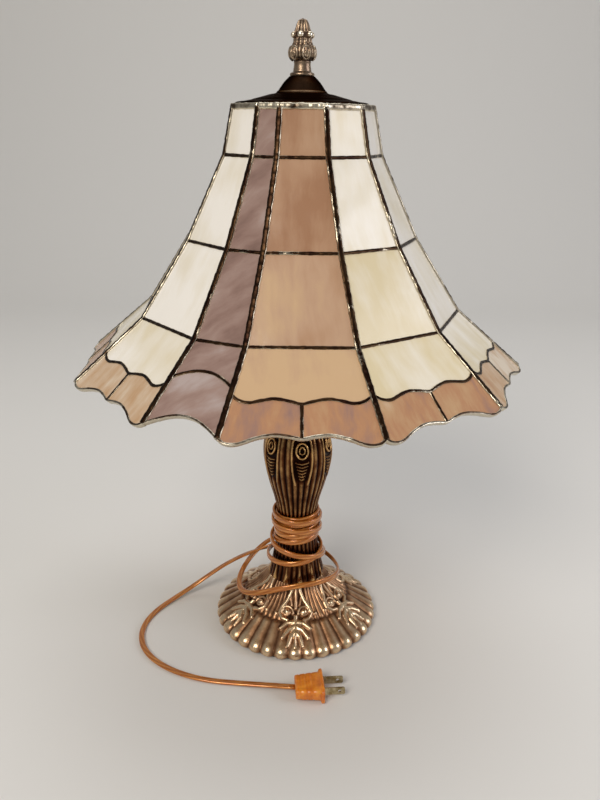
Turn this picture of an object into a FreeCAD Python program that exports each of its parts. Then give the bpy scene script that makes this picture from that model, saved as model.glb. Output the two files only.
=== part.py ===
import FreeCAD, Part

import math
import os

import Sketcher
from FreeCAD import Placement, Rotation, Vector

# Stained glass table lamp: a twelve-sided bell shade of flat glass in soldered copper foil, held by a
# harp over a cast base with a wound flat twin cord. Millimetres, +Z up, front at -Y, origin at the
# middle of the felt under the foot.

doc = FreeCAD.newDocument("stained_glass_lamp")
sheet = doc.addObject("Spreadsheet::Sheet", "Sizes")

# The driving dimensions. Every other size is worked out from these.
SIZES = {
    # felt, foot, column and vase: the cast base
    "felt_thick": 1.5,
    "felt_radius": 69,
    "foot_radius": 73,
    "foot_rim_high": 5.5,
    "foot_top": 46,
    "foot_top_radius": 25,
    "casting_wall": 3,
    "column_top": 108,
    "neck_radius": 17.2,
    "vase_radius": 29.5,
    "vase_belly": 166,
    "vase_top": 203,
    "vase_top_radius": 15,
    # threaded lamp pipe and what it clamps
    "pipe_radius": 4.8,
    "pipe_bore": 3.2,
    "pipe_clearance": 0.2,
    "nut_across": 15,
    "nut_high": 4,
    "nut_lift": 1,
    "washer_radius": 15,
    "washer_thick": 1.5,
    "weight_radius": 48,
    "check_ring_radius": 17,
    "check_ring_high": 3,
    # harp saddle, harp and its sleeves
    "saddle_half_span": 31,
    "saddle_wide": 14,
    "saddle_thick": 2,
    "saddle_rise": 20,
    "harp_wire_radius": 2,
    "harp_half_width": 46,
    "sleeve_radius": 4.2,
    "sleeve_high": 13,
    "sleeve_clearance": 0.3,
    "stud_radius": 3,
    "stud_high": 14,
    # socket and bulb
    "socket_radius": 16.5,
    "socket_high": 40,
    "socket_cap_high": 16,
    "socket_fit": 0.1,
    "shell_wall": 0.8,
    "liner_wall": 0.7,
    "screw_shell_wall": 0.7,
    "bulb_thread_fit": 0.35,
    "key_radius": 2.2,
    "key_reach": 24,
    "bulb_radius": 30,
    "bulb_high": 84,
    "bulb_cap_room": 2.1,
    "bulb_skin": 1,
    # shade
    "cap_radius": 49,
    "cap_top": 467.6,
    "cap_top_radius": 9.5,
    "cap_wall": 1.2,
    "cap_stud_gap": 0.6,
    "shade_top": 446.4,
    "shade_top_radius": 54.1,
    "row_one_end": 413.3,
    "row_one_radius": 61,
    "row_two_end": 352.5,
    "row_two_radius": 90.5,
    "row_three_end": 296.3,
    "row_three_radius": 127.5,
    "shade_bottom": 252.3,
    "shade_bottom_radius": 179.8,
    "border_share": 0.531,
    "wide_panel_angle": 34,
    "first_rib_angle": -34,
    "glass_thick": 3,
    "solder_half": 1.6,
    "solder_proud": 0.7,
    "glass_gap": 0.1,
    # finial
    "finial_high": 39,
    "finial_radius": 10.2,
    "turning_gap": 0.25,
    # cord and plug
    "cord_solid": 3,
    "winding_gap": 0.4,
    "winding_thick": 5.6,
    "winding_low": 56,
    "winding_high": 114,
    "plug_long": 20,
    "plug_wide": 25,
    "plug_thick": 11,
    "plug_flange": 30,
    "plug_flange_thick": 3,
    "plug_flange_high": 14,
    "blade_long": 17,
    "blade_wide": 6.35,
    "blade_thick": 1.5,
    "blade_pitch": 12.7,
}
for row, (alias, value) in enumerate(SIZES.items(), start=1):
    sheet.set("A%d" % row, alias)
    sheet.set("B%d" % row, str(value))
    sheet.setAlias("B%d" % row, alias)
doc.recompute()

parts = []


def linked(expression):
    """An expression in the sheet's aliases, such as 'foot_top - 2', with the sheet's name before each."""
    words = expression.replace("(", " ( ").replace(")", " ) ").split()
    return " ".join("Sizes." + word if word in SIZES else word for word in words)


def size(expression):
    """The value in millimetres of an expression in the sheet's aliases."""
    result = sheet.evalExpression(linked(expression))
    return getattr(result, "Value", result)


def finish(part, label, place=None):
    """Give a sub-part its Label and Placement and put it on the list of what is written."""
    part.Label = label
    if place is not None:
        part.Placement = place
    parts.append(part)
    return part


def solids(label, shapes, place=None):
    """A sub-part of one or more free-form solids, whose sizes were read from the sheet."""
    part = doc.addObject("Part::Feature", label)
    part.Shape = shapes[0] if len(shapes) == 1 else Part.makeCompound(shapes)
    return finish(part, label, place)


def turned(label, corners, place=None):
    """A turned piece: a body whose sketch in the XZ plane has these (radius, height) corners, each
    bound to the sheet, revolved about Z."""
    body = doc.addObject("PartDesign::Body", label)
    sketch = body.newObject("Sketcher::SketchObject", label + "_outline")
    plane = [f for f in body.Origin.OriginFeatures if f.Role == "XZ_Plane"][0]
    sketch.AttachmentSupport = (plane, "")
    sketch.MapMode = "FlatFace"
    points = [Vector(size(r), size(z), 0) for r, z in corners]
    for i, point in enumerate(points):
        sketch.addGeometry(Part.LineSegment(point, points[(i + 1) % len(points)]))
    for i in range(len(points)):
        sketch.addConstraint(Sketcher.Constraint("Coincident", i, 2, (i + 1) % len(points), 1))
    for i, (r, z) in enumerate(corners):
        if abs(points[i].x) < 1e-9:
            sketch.addConstraint(Sketcher.Constraint("PointOnObject", i, 1, -2))
        else:
            index = sketch.addConstraint(Sketcher.Constraint("DistanceX", -1, 1, i, 1, points[i].x))
            sketch.setExpression("Constraints[%d]" % index, linked(r))
        if abs(points[i].y) < 1e-9:
            sketch.addConstraint(Sketcher.Constraint("PointOnObject", i, 1, -1))
        else:
            index = sketch.addConstraint(Sketcher.Constraint("DistanceY", -1, 1, i, 1, points[i].y))
            sketch.setExpression("Constraints[%d]" % index, linked(z))
    turn = body.newObject("PartDesign::Revolution", label + "_turn")
    turn.Profile = sketch
    turn.ReferenceAxis = (sketch, ["V_Axis"])
    turn.Angle = 360
    return finish(body, label, place)


def spline(points):
    """A smooth curve in the XZ plane through (radius, height) points."""
    curve = Part.BSplineCurve()
    curve.interpolate([Vector(r, 0, z) for r, z in points])
    return curve


def offset_points(points, distance):
    """The same outline moved by distance to its right as it is walked: positive is away from Z on
    an outline that climbs."""
    curve = spline(points)
    moved = []
    for r, z in points:
        tangent = curve.tangent(curve.parameter(Vector(r, 0, z)))[0]
        moved.append((r + tangent.z * distance, z - tangent.x * distance))
    return moved


def revolve(edges):
    """The solid swept by a closed outline in the XZ plane about Z."""
    face = Part.Face(Part.Wire(Part.__sortEdges__(edges)))
    return face.revolve(Vector(0, 0, 0), Vector(0, 0, 1), 360)


def between(outer, inner):
    """The revolved wall between two smooth outlines, closed by a straight line at each end."""
    ends = [Part.makeLine(Vector(outer[i][0], 0, outer[i][1]), Vector(inner[i][0], 0, inner[i][1]))
            for i in (0, -1)]
    return revolve([spline(outer).toShape(), spline(inner).toShape()] + ends)


# ---------------------------------------------------------------------------------------------
# The cast base: foot, column and vase, each a hollow casting on the lamp pipe
# ---------------------------------------------------------------------------------------------

wall = size("casting_wall")
foot_low = size("felt_thick")
foot_radius = size("foot_radius")
foot_top = size("foot_top")
foot_top_radius = size("foot_top_radius")
rim_high = size("felt_thick + foot_rim_high")


def dome(share_out, share_up):
    """A point of the foot's dome, by its share of the way out and of the way up."""
    return (foot_top_radius + (foot_radius - foot_top_radius) * share_out,
            rim_high + (foot_top - rim_high) * share_up)


DOME = [dome(1, 0), dome(0.855, 0.15), dome(0.565, 0.38), dome(0.27, 0.63), dome(0.08, 0.85), dome(0, 1)]


def foot_solid():
    """The hollow dome: its outside, its inside a wall further in, and the upright rim."""
    inner = offset_points(DOME, -wall)
    inner[0] = (foot_radius - wall, rim_high)
    inner[-1] = (foot_top_radius - wall, foot_top)
    outer_edge = Part.makeLine(Vector(foot_radius, 0, foot_low), Vector(foot_radius, 0, rim_high))
    inner_edge = Part.makeLine(Vector(foot_radius - wall, 0, foot_low),
                               Vector(foot_radius - wall, 0, rim_high))
    low = Part.makeLine(Vector(foot_radius - wall, 0, foot_low), Vector(foot_radius, 0, foot_low))
    high = Part.makeLine(Vector(foot_top_radius - wall, 0, foot_top),
                         Vector(foot_top_radius, 0, foot_top))
    return revolve([outer_edge, spline(DOME).toShape(), high, spline(inner).toShape(), inner_edge, low])


# The cord leaves through a bushing square to the dome's back, a third of the way down it.
dome_curve = spline(DOME)
near_exit = dome(0.46, 0.46)
exit_point = dome_curve.value(dome_curve.parameter(Vector(near_exit[0], 0, near_exit[1])))
exit_slope = dome_curve.tangent(dome_curve.parameter(exit_point))[0]
exit_direction = Vector(0, abs(exit_slope.z), abs(exit_slope.x))
exit_base = Vector(0, exit_point.x, exit_point.z)
print("cord exit", exit_base, "towards", exit_direction)
BUSHING_HOLE = 3.4
BUSHING_FIT = 0.1
BUSHING_FLANGE = 5.6
BUSHING_FLANGE_THICK = 2.2
BUSHING_TAIL = 2.5

hole = Part.makeCylinder(BUSHING_HOLE, 4 * wall, exit_base - exit_direction * 2 * wall, exit_direction)
foot = solids("base_foot", [foot_solid().cut(hole)])

bushing = Part.makeCylinder(BUSHING_FLANGE, BUSHING_FLANGE_THICK, exit_base, exit_direction)
barrel_long = wall + BUSHING_TAIL
barrel = Part.makeCylinder(BUSHING_HOLE - BUSHING_FIT, barrel_long,
                           exit_base - exit_direction * barrel_long, exit_direction)
bushing = bushing.cut(foot.Shape).fuse(barrel)
bore = Part.makeCylinder(size("cord_solid") / 2 + BUSHING_FIT, 8 * wall,
                         exit_base - exit_direction * 4 * wall, exit_direction)
solids("cord_bushing", [bushing.cut(bore).removeSplitter().Solids[0]])

turned("base_felt", [("0", "0"), ("felt_radius", "0"), ("felt_radius", "felt_thick"), ("0", "felt_thick")])


def column_points():
    """The reeded column from the foot up to the neck."""
    neck = size("neck_radius")
    top = size("column_top")
    high = top - foot_top
    return [(foot_top_radius, foot_top), (neck + 4.6, foot_top + 0.24 * high),
            (neck + 1.6, foot_top + 0.55 * high), (neck + 0.3, foot_top + 0.82 * high), (neck, top)]


def vase_points():
    """The vase from the neck over its belly to the narrow top."""
    neck = size("neck_radius")
    low = size("column_top")
    belly = size("vase_belly")
    top = size("vase_top")
    wide = size("vase_radius")
    top_radius = size("vase_top_radius")
    return [(neck, low), (neck + 0.22 * (wide - neck), low + 0.25 * (belly - low)),
            (neck + 0.68 * (wide - neck), low + 0.6 * (belly - low)), (wide, belly),
            (wide - 0.12 * (wide - top_radius), belly + 0.4 * (top - belly)),
            (wide - 0.56 * (wide - top_radius), belly + 0.78 * (top - belly)), (top_radius, top)]


def casting(points):
    """A hollow casting: the outline outside, and the same a wall further in, cut level at its ends."""
    inner = offset_points(points, -wall)
    inner[0] = (points[0][0] - wall, points[0][1])
    inner[-1] = (points[-1][0] - wall, points[-1][1])
    return between(points, inner)


solids("stem_column", [casting(column_points())])
solids("stem_vase", [casting(vase_points())])

# The iron weight hangs under the dome on the pipe, clamped up by the washer and the bottom nut.
PIPE_HOLE = "pipe_radius + pipe_clearance"
nut_low = "felt_thick + nut_lift"
washer_low = nut_low + " + nut_high"
washer_high = washer_low + " + washer_thick"
turned("bottom_washer", [(PIPE_HOLE, washer_low), ("washer_radius", washer_low),
                         ("washer_radius", washer_high), (PIPE_HOLE, washer_high)])
WEIGHT_GAP = 0.4
WEIGHT_SHOULDER_GAP = 0.3
under_dome = offset_points(DOME, -wall - WEIGHT_GAP)
weight_outline = [Vector(size(PIPE_HOLE), 0, size(washer_high)),
                  Vector(size("weight_radius"), 0, size(washer_high)),
                  Vector(size("weight_radius"), 0, under_dome[2][1] - WEIGHT_SHOULDER_GAP),
                  Vector(under_dome[3][0], 0, under_dome[3][1]),
                  Vector(size(PIPE_HOLE), 0, under_dome[3][1])]
weight_outline.append(weight_outline[0])
weight = Part.Face(Part.makePolygon(weight_outline)).revolve(Vector(), Vector(0, 0, 1), 360)
cord_room = Part.makeCylinder(BUSHING_FLANGE, 12 * wall, exit_base - exit_direction * 11 * wall,
                              exit_direction)
solids("base_weight", [weight.cut(cord_room)])


def hexagon_nut(label, low):
    """A hexagon nut on the pipe: a prism bound to the sheet, less its threaded hole."""
    prism = doc.addObject("Part::Prism", label + "_hexagon")
    prism.Polygon = 6
    prism.setExpression("Circumradius", linked("nut_across / 2") + " / cos(30)")
    prism.setExpression("Height", linked("nut_high"))
    tap = doc.addObject("Part::Cylinder", label + "_thread")
    tap.setExpression("Radius", linked("pipe_radius + pipe_clearance / 4"))
    tap.setExpression("Height", linked("nut_high"))
    nut = doc.addObject("Part::Cut", label)
    nut.Base = prism
    nut.Tool = tap
    return finish(nut, label, Placement(Vector(0, 0, low), Rotation()))


hexagon_nut("bottom_nut", size(nut_low))

PIPE_FLOOR_GAP = 0.3
PIPE_IN_SOCKET = 6
cap_low = "vase_top + check_ring_high + saddle_thick + nut_high"
pipe_low = size("felt_thick") + PIPE_FLOOR_GAP
pipe_high = size(cap_low) + PIPE_IN_SOCKET
saddle_seat = size("vase_top + check_ring_high")


def pipe():
    """The threaded lamp pipe that carries everything: a tube bound to the sheet."""
    tube = doc.addObject("Part::Cylinder", "pipe_outside")
    tube.setExpression("Radius", linked("pipe_radius"))
    tube.Height = pipe_high - pipe_low
    inside = doc.addObject("Part::Cylinder", "pipe_inside")
    inside.setExpression("Radius", linked("pipe_bore"))
    inside.Height = pipe_high - pipe_low
    cut = doc.addObject("Part::Cut", "lamp_pipe")
    cut.Base = tube
    cut.Tool = inside
    return finish(cut, "lamp_pipe", Placement(Vector(0, 0, pipe_low), Rotation()))


pipe()
turned("check_ring", [(PIPE_HOLE, "vase_top"), ("check_ring_radius", "vase_top"),
                      ("check_ring_radius", "vase_top + check_ring_high * 0.5"),
                      ("check_ring_radius * 0.85", "vase_top + check_ring_high"),
                      (PIPE_HOLE, "vase_top + check_ring_high")])

# ---------------------------------------------------------------------------------------------
# The harp: saddle, sleeves, bent wire and the threaded stud on its seat
# ---------------------------------------------------------------------------------------------

span = size("saddle_half_span")
saddle_thick = size("saddle_thick")
saddle_wide = size("saddle_wide")
saddle_tip = saddle_seat + size("saddle_rise")
wire_radius = size("harp_wire_radius")
SADDLE_BEND = 10


def saddle_strip(inset):
    """Half the saddle's bent strip, seen along Y: out from the pipe, round a bend and up."""
    bend = SADDLE_BEND - inset
    return [(0, saddle_seat + inset), (span + saddle_thick / 2 - inset - bend, saddle_seat + inset),
            (span + saddle_thick / 2 - inset, saddle_seat + inset + bend),
            (span + saddle_thick / 2 - inset, saddle_tip)]


def saddle_solid():
    """The saddle: both halves of the strip, with the pipe's hole in the middle."""
    halves = []
    for side in (1, -1):
        outer = saddle_strip(0)
        inner = saddle_strip(saddle_thick)
        edges = []
        for strip in (outer, inner):
            a, b, c, d = [Vector(side * x, 0, z) for x, z in strip]
            radius = c.z - b.z
            middle = Vector(side * (abs(b.x) + radius * math.sin(math.pi / 4)), 0,
                            b.z + radius * (1 - math.cos(math.pi / 4)))
            edges += [Part.makeLine(a, b), Part.Arc(b, middle, c).toShape(), Part.makeLine(c, d)]
        for end in (0, 3):
            edges.append(Part.makeLine(Vector(side * outer[end][0], 0, outer[end][1]),
                                       Vector(side * inner[end][0], 0, inner[end][1])))
        face = Part.Face(Part.Wire(Part.__sortEdges__(edges)))
        strip = face.extrude(Vector(0, saddle_wide, 0))
        strip.translate(Vector(0, -saddle_wide / 2, 0))
        halves.append(strip)
    hole = Part.makeCylinder(size(PIPE_HOLE), 4 * saddle_thick,
                             Vector(0, 0, saddle_seat - saddle_thick))
    return halves[0].fuse(halves[1]).cut(hole).removeSplitter()


TIP_GAP = 0.2
SLEEVE_SHARE_BELOW = 0.55
SLEEVE_SEAT_GAP = 0.3
TANG_ROOT = 1.0
leg_low = saddle_tip + TIP_GAP
sleeve_low = saddle_tip - size("sleeve_high") * SLEEVE_SHARE_BELOW
leg_clear = size("sleeve_radius") + size("sleeve_clearance")
saddle = saddle_solid()
# The tips are narrowed to round tangs that the sleeves drop over.
for side in (1, -1):
    block = Part.makeBox(3 * leg_clear, 2 * saddle_wide, size("saddle_rise"),
                         Vector(side * span - 1.5 * leg_clear, -saddle_wide, sleeve_low - SLEEVE_SEAT_GAP))
    tang = Part.makeCylinder(wire_radius, saddle_tip - sleeve_low + TANG_ROOT,
                             Vector(side * span, 0, sleeve_low - TANG_ROOT))
    saddle = saddle.cut(block).fuse(tang)
solids("harp_saddle", [saddle.removeSplitter().Solids[0]])
hexagon_nut("saddle_nut", saddle_seat + saddle_thick)

harp_seat = size("cap_top - cap_wall - turning_gap")
HARP_PLATE_THICK = 2.0
HARP_PLATE_RADIUS = 8.5
HARP_BOSS_RADIUS = 4.0
HARP_BOSS_HIGH = 14.0


HARP_LEAN = math.radians(20)
HARP_CORNER = 18.0
HARP_CROWN_HALF = 11.0
HARP_STRAIGHT = 18.0


def harp_wire():
    """The harp: one bent wire of straight runs and tangent arcs. It stands straight in its sleeves,
    swells out round the bulb, leans in and turns a corner to the level run under the seat."""
    wide = size("harp_half_width")
    top = harp_seat - HARP_BOSS_HIGH - wire_radius
    swell = wide - span
    low = leg_low + HARP_STRAIGHT
    # two equal arcs make the swell, three times as high as it is wide
    swell_radius = 2.5 * swell
    lean_radius = (wide - HARP_CROWN_HALF - HARP_CORNER * math.cos(HARP_LEAN)) / (1 - math.cos(HARP_LEAN))
    lean_low = top - HARP_CORNER * (1 - math.sin(HARP_LEAN)) - lean_radius * math.sin(HARP_LEAN)

    def arc(centre_x, centre_z, radius, first, last):
        """An arc about a centre, from the first to the last angle above +X."""
        places = [Vector(centre_x + radius * math.cos(a), 0, centre_z + radius * math.sin(a))
                  for a in (first, (first + last) / 2, last)]
        return Part.Arc(*places).toShape()

    swell_turn = 2 * math.atan(1 / 3)
    right = [Part.makeLine(Vector(span, 0, leg_low), Vector(span, 0, low)),
             arc(span + swell_radius, low, swell_radius, math.pi, math.pi - swell_turn),
             arc(wide - swell_radius, low + 3 * swell, swell_radius, -swell_turn, 0),
             Part.makeLine(Vector(wide, 0, low + 3 * swell), Vector(wide, 0, lean_low)),
             arc(wide - lean_radius, lean_low, lean_radius, 0, HARP_LEAN),
             arc(HARP_CROWN_HALF, top - HARP_CORNER, HARP_CORNER, HARP_LEAN, math.pi / 2)]
    left = [edge.mirror(Vector(), Vector(1, 0, 0)) for edge in right]
    crown = Part.makeLine(Vector(HARP_CROWN_HALF, 0, top), Vector(-HARP_CROWN_HALF, 0, top))
    path = Part.Wire(Part.__sortEdges__(right + [crown] + left))
    section = Part.Wire(Part.makeCircle(wire_radius, Vector(span, 0, leg_low), Vector(0, 0, 1)))
    solid = Part.Solid(path.makePipeShell([section], True, False))
    print("harp wire %.1f long, volume %.1f of %.1f"
          % (path.Length, solid.Volume, math.pi * wire_radius ** 2 * path.Length))
    return solid


solids("harp_wire", [harp_wire()])
seat_high = "cap_top - cap_wall - turning_gap"
boss_low = seat_high + " - %g" % HARP_BOSS_HIGH
plate_low = seat_high + " - %g" % HARP_PLATE_THICK
boss = "%g" % HARP_BOSS_RADIUS
plate_edge = "%g" % HARP_PLATE_RADIUS
turned("harp_seat", [("0", boss_low), (boss, boss_low), (boss, plate_low), (plate_edge, plate_low),
                     (plate_edge, seat_high), ("stud_radius", seat_high),
                     ("stud_radius", "cap_top + stud_high"), ("0", "cap_top + stud_high")])
for side, label in ((-1, "harp_sleeve_left"), (1, "harp_sleeve_right")):
    turned(label, [("harp_wire_radius + sleeve_clearance", "0"), ("sleeve_radius", "0"),
                   ("sleeve_radius", "sleeve_high - 1"), ("sleeve_radius - 1", "sleeve_high"),
                   ("harp_wire_radius + sleeve_clearance", "sleeve_high")],
           Placement(Vector(side * span, 0, sleeve_low), Rotation()))

# ---------------------------------------------------------------------------------------------
# The socket: cap, shell, liner, core with its screw shell, and the turn key
# ---------------------------------------------------------------------------------------------

CAP_BOSS = 3.5
CAP_FLARE = 0.9
CAP_LIP_HIGH = 4
CAP_SHELL_GAP = 0.4
shell_low = cap_low + " + socket_cap_high"
shell_high = shell_low + " + socket_high"
lip_high = shell_low + " + %g" % CAP_LIP_HIGH
lip_outside = "socket_radius + %g" % CAP_FLARE
lip_inside = "socket_radius + socket_fit"
turned("socket_cap", [(PIPE_HOLE, cap_low), ("pipe_radius + %g" % CAP_BOSS, cap_low),
                      ("pipe_radius + %g" % CAP_BOSS, cap_low + " + 5"),
                      ("socket_radius - 1.5", shell_low + " - 5"), (lip_outside, shell_low),
                      (lip_outside, lip_high), (lip_inside, lip_high),
                      (lip_inside, shell_low + " + %g" % CAP_SHELL_GAP),
                      ("socket_radius - 2.5", shell_low + " - 4"),
                      ("pipe_radius + %g - 1" % CAP_BOSS, cap_low + " + 6"),
                      (PIPE_HOLE, cap_low + " + 6")])
KEY_ABOVE_SHELL = 9
KEY_SLOT_GAP = 1
KEY_BORE_GAP = 0.06
key_height = size(shell_low) + KEY_ABOVE_SHELL
key_slot = Part.makeCylinder(size("key_radius") + KEY_SLOT_GAP, 2 * size("socket_radius"),
                             Vector(0, 0, key_height), Vector(0, -1, 0))


def socket_tube(label, outer, inner, low, high):
    """A thin tube of the socket with the hole that the key passes through."""
    tube = Part.makeCylinder(size(outer), size(high) - size(low), Vector(0, 0, size(low)))
    tube = tube.cut(Part.makeCylinder(size(inner), size(high) - size(low), Vector(0, 0, size(low))))
    return solids(label, [tube.cut(key_slot)])


SHELL_LIFT = 0.6
LINER_SHORT = 1.5
liner_outside = "socket_radius - shell_wall - socket_fit"
liner_inside = liner_outside + " - liner_wall"
tube_low = shell_low + " + %g" % SHELL_LIFT
socket_tube("socket_shell", "socket_radius", "socket_radius - shell_wall", tube_low, shell_high)
socket_tube("socket_liner", liner_outside, liner_inside, tube_low, shell_high + " - %g" % LINER_SHORT)

CORE_BELOW = 2
CORE_ABOVE = 16
CORE_CONE = 3
CORE_TAPER = 2
core_radius = size(liner_inside + " - socket_fit")
core_low = size(shell_low) - CORE_BELOW
core_high = size(shell_low) + CORE_ABOVE
core = Part.makeCone(core_radius - CORE_TAPER, core_radius, CORE_CONE, Vector(0, 0, core_low))
core = core.fuse(Part.makeCylinder(core_radius, core_high - core_low - CORE_CONE,
                                   Vector(0, 0, core_low + CORE_CONE)))
key_bore = Part.makeCylinder(size("key_radius") + KEY_BORE_GAP, core_radius + 1, Vector(0, 1, key_height),
                             Vector(0, -1, 0))
core = core.cut(key_bore)

SCREW_RADIUS = 3
SCREW_HEAD = 1.6
SCREW_POCKET_GAP = 0.4
SCREW_POCKET_DEEP = 3.6
SCREW_SEAT_GAP = 0.1
SCREW_SLOT_WIDE = 0.8
SCREW_SLOT_DEEP = 0.5
terminal_screws = []
for side in (1, -1):
    outward = Vector(side, 0, 0)
    seat = outward * (core_radius - SCREW_POCKET_DEEP) + Vector(0, 0, key_height)
    core = core.cut(Part.makeCylinder(SCREW_RADIUS + SCREW_POCKET_GAP, SCREW_POCKET_DEEP + 1, seat, outward))
    head = Part.makeCylinder(SCREW_RADIUS, SCREW_HEAD, seat + outward * SCREW_SEAT_GAP, outward)
    slot = Part.makeBox(2 * SCREW_SLOT_DEEP, 3 * SCREW_RADIUS, SCREW_SLOT_WIDE)
    slot.translate(seat + outward * (SCREW_SEAT_GAP + SCREW_HEAD)
                   - Vector(SCREW_SLOT_DEEP, 1.5 * SCREW_RADIUS, SCREW_SLOT_WIDE / 2))
    terminal_screws.append(head.cut(slot))
solids("socket_core", [core.removeSplitter()])
solids("terminal_screws", terminal_screws)

SCREW_SHELL_SHORT = 2.5
bulb_cap_radius = liner_inside + " + socket_fit - bulb_cap_room"
thread_inside = bulb_cap_radius + " + bulb_thread_fit"
thread_outside = thread_inside + " + screw_shell_wall"
thread_low = "%g" % core_high
thread_high = shell_high + " - %g" % SCREW_SHELL_SHORT
turned("screw_shell", [(thread_inside, thread_low), (thread_outside, thread_low),
                       (thread_outside, thread_high), (thread_inside, thread_high)])


KEY_IN_CORE = 0.5
GRIP_WIDE = 12
GRIP_LONG = 6
GRIP_THICK = 5
GRIP_OVERLAP = 1


def switch_key():
    """The turn key: a shaft in the core with a flat grip outside the shell."""
    reach = size("key_reach")
    shaft = Part.makeCylinder(size("key_radius"), reach - KEY_IN_CORE, Vector(0, KEY_IN_CORE, key_height),
                              Vector(0, -1, 0))
    grip = Part.makeBox(GRIP_WIDE, GRIP_LONG, GRIP_THICK,
                        Vector(-GRIP_WIDE / 2, GRIP_OVERLAP - reach - GRIP_LONG, key_height - GRIP_THICK / 2))
    upright = [e for e in grip.Edges if abs(e.tangentAt(e.FirstParameter).y) < 0.5 and e.Length < GRIP_LONG]
    return shaft.fuse(grip.makeFillet(1, upright))


solids("switch_key", [switch_key().removeSplitter().Solids[0]])

BULB_LIFT = 0.5
CAP_HIGH = 24
CAP_CONE = 5
CAP_TIP = 6
NECK_FLARE = 0.6
POLE_RADIUS = 0.02
bulb_low = core_high + BULB_LIFT
cap_radius_value = size(bulb_cap_radius)
cap_screw = Part.makeCone(CAP_TIP, cap_radius_value, CAP_CONE, Vector(0, 0, bulb_low))
cap_screw = cap_screw.fuse(Part.makeCylinder(cap_radius_value, CAP_HIGH - CAP_CONE,
                                             Vector(0, 0, bulb_low + CAP_CONE)))
glass_low = bulb_low + CAP_HIGH
solids("bulb_cap", [cap_screw.removeSplitter()])


def bulb_glass():
    """The envelope: a closed hollow pear, its stem seated on the cap."""
    neck = cap_radius_value + NECK_FLARE
    wide = size("bulb_radius")
    high = size("bulb_high")
    skin = size("bulb_skin")
    top = glass_low + high
    outline = [(neck, glass_low), (neck + 1.5, glass_low + 0.14 * high),
               (0.8 * wide, glass_low + 0.4 * high), (wide, glass_low + 0.66 * high),
               (0.72 * wide, glass_low + 0.92 * high)]
    inline = [(r - skin, z) for r, z in outline[:4]]
    inline.append((outline[4][0] - 0.6 * skin, outline[4][1] - 0.7 * skin))
    curves = []
    for points, pole in ((outline, top), (inline, top - skin)):
        curve = Part.BSplineCurve()
        curve.interpolate(Points=[Vector(r, 0, z) for r, z in points + [(POLE_RADIUS, pole)]],
                          InitialTangent=Vector(0, 0, 20), FinalTangent=Vector(-30, 0, 0))
        curves.append(curve.toShape())
    rim = Part.makeLine(Vector(neck, 0, glass_low), Vector(neck - skin, 0, glass_low))
    crown = Part.makeLine(Vector(POLE_RADIUS, 0, top), Vector(POLE_RADIUS, 0, top - skin))
    tip = Part.makeCylinder(POLE_RADIUS * 1.05, skin, Vector(0, 0, top - skin))
    return revolve(curves + [rim, crown]).fuse(tip)


solids("bulb_glass", [bulb_glass().Solids[0]])

# ---------------------------------------------------------------------------------------------
# The shade: twelve flat-faceted panels of four rows and a scalloped border, in soldered foil
# ---------------------------------------------------------------------------------------------

WIDE = size("wide_panel_angle")
NARROW = (360 - 9 * WIDE) / 3
thick = size("glass_thick")
solder_half = size("solder_half")
proud = size("solder_proud")
gap = size("glass_gap")
RIB = [(size("shade_top_radius"), size("shade_top")), (size("row_one_radius"), size("row_one_end")),
       (size("row_two_radius"), size("row_two_end")), (size("row_three_radius"), size("row_three_end")),
       (size("shade_bottom_radius"), size("shade_bottom"))]

# One third of the shade, which is then turned twice: a narrow panel and three wide ones.
THIRD = ["narrow", "tan", "cream", "cream"]


def panel_list():
    """Each panel's kind, middle angle and width, from the first rib on, anticlockwise from above."""
    panels = []
    angle = size("first_rib_angle")
    for repeat in range(3):
        for kind in THIRD:
            width = NARROW if kind == "narrow" else WIDE
            panels.append((kind, angle + width / 2, width))
            angle += width
    return panels


def facet(middle, width, upper, lower):
    """The frame of one flat facet between two rib points: its middle top point, the unit vectors
    across, down the slope and outwards, and its half widths at the top and the bottom."""
    half = math.radians(width / 2)
    turn = math.radians(middle)
    outward = Vector(math.sin(turn), -math.cos(turn), 0)
    across = Vector(math.cos(turn), math.sin(turn), 0)
    top = outward * (upper[0] * math.cos(half)) + Vector(0, 0, upper[1])
    low = outward * (lower[0] * math.cos(half)) + Vector(0, 0, lower[1])
    down = (low - top).normalize()
    normal = across.cross(down).normalize()
    if normal.dot(outward) < 0:
        normal = normal * -1
    return top, across, down, normal, upper[0] * math.sin(half), lower[0] * math.sin(half)


def plate(top, across, down, normal, outline, deep, lift):
    """A flat plate: a closed outline in (across, down), from lift above the facet to deep below it."""
    start = top + normal * lift
    edges = []
    for kind, points in outline:
        places = [start + across * s + down * t for s, t in points]
        if kind == "line":
            edges.append(Part.makeLine(places[0], places[1]))
        else:
            curve = Part.BSplineCurve()
            curve.interpolate(places)
            edges.append(curve.toShape())
    face = Part.Face(Part.Wire(edges))
    return face.extrude(normal * -(deep + lift))


def side_inset(width, normal, depth):
    """How far a plate's side stands in from the rib's middle plane, so that its inner face, depth
    further in, still clears the rib's solder."""
    half = math.radians(width / 2)
    level = math.hypot(normal.x, normal.y)
    return (solder_half + gap + depth * level * math.sin(half)) / math.cos(half)


def slope_length(width, upper, lower):
    """How long a facet is down its slope, between two rib points."""
    return math.hypot((lower[0] - upper[0]) * math.cos(math.radians(width / 2)), upper[1] - lower[1])


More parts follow.
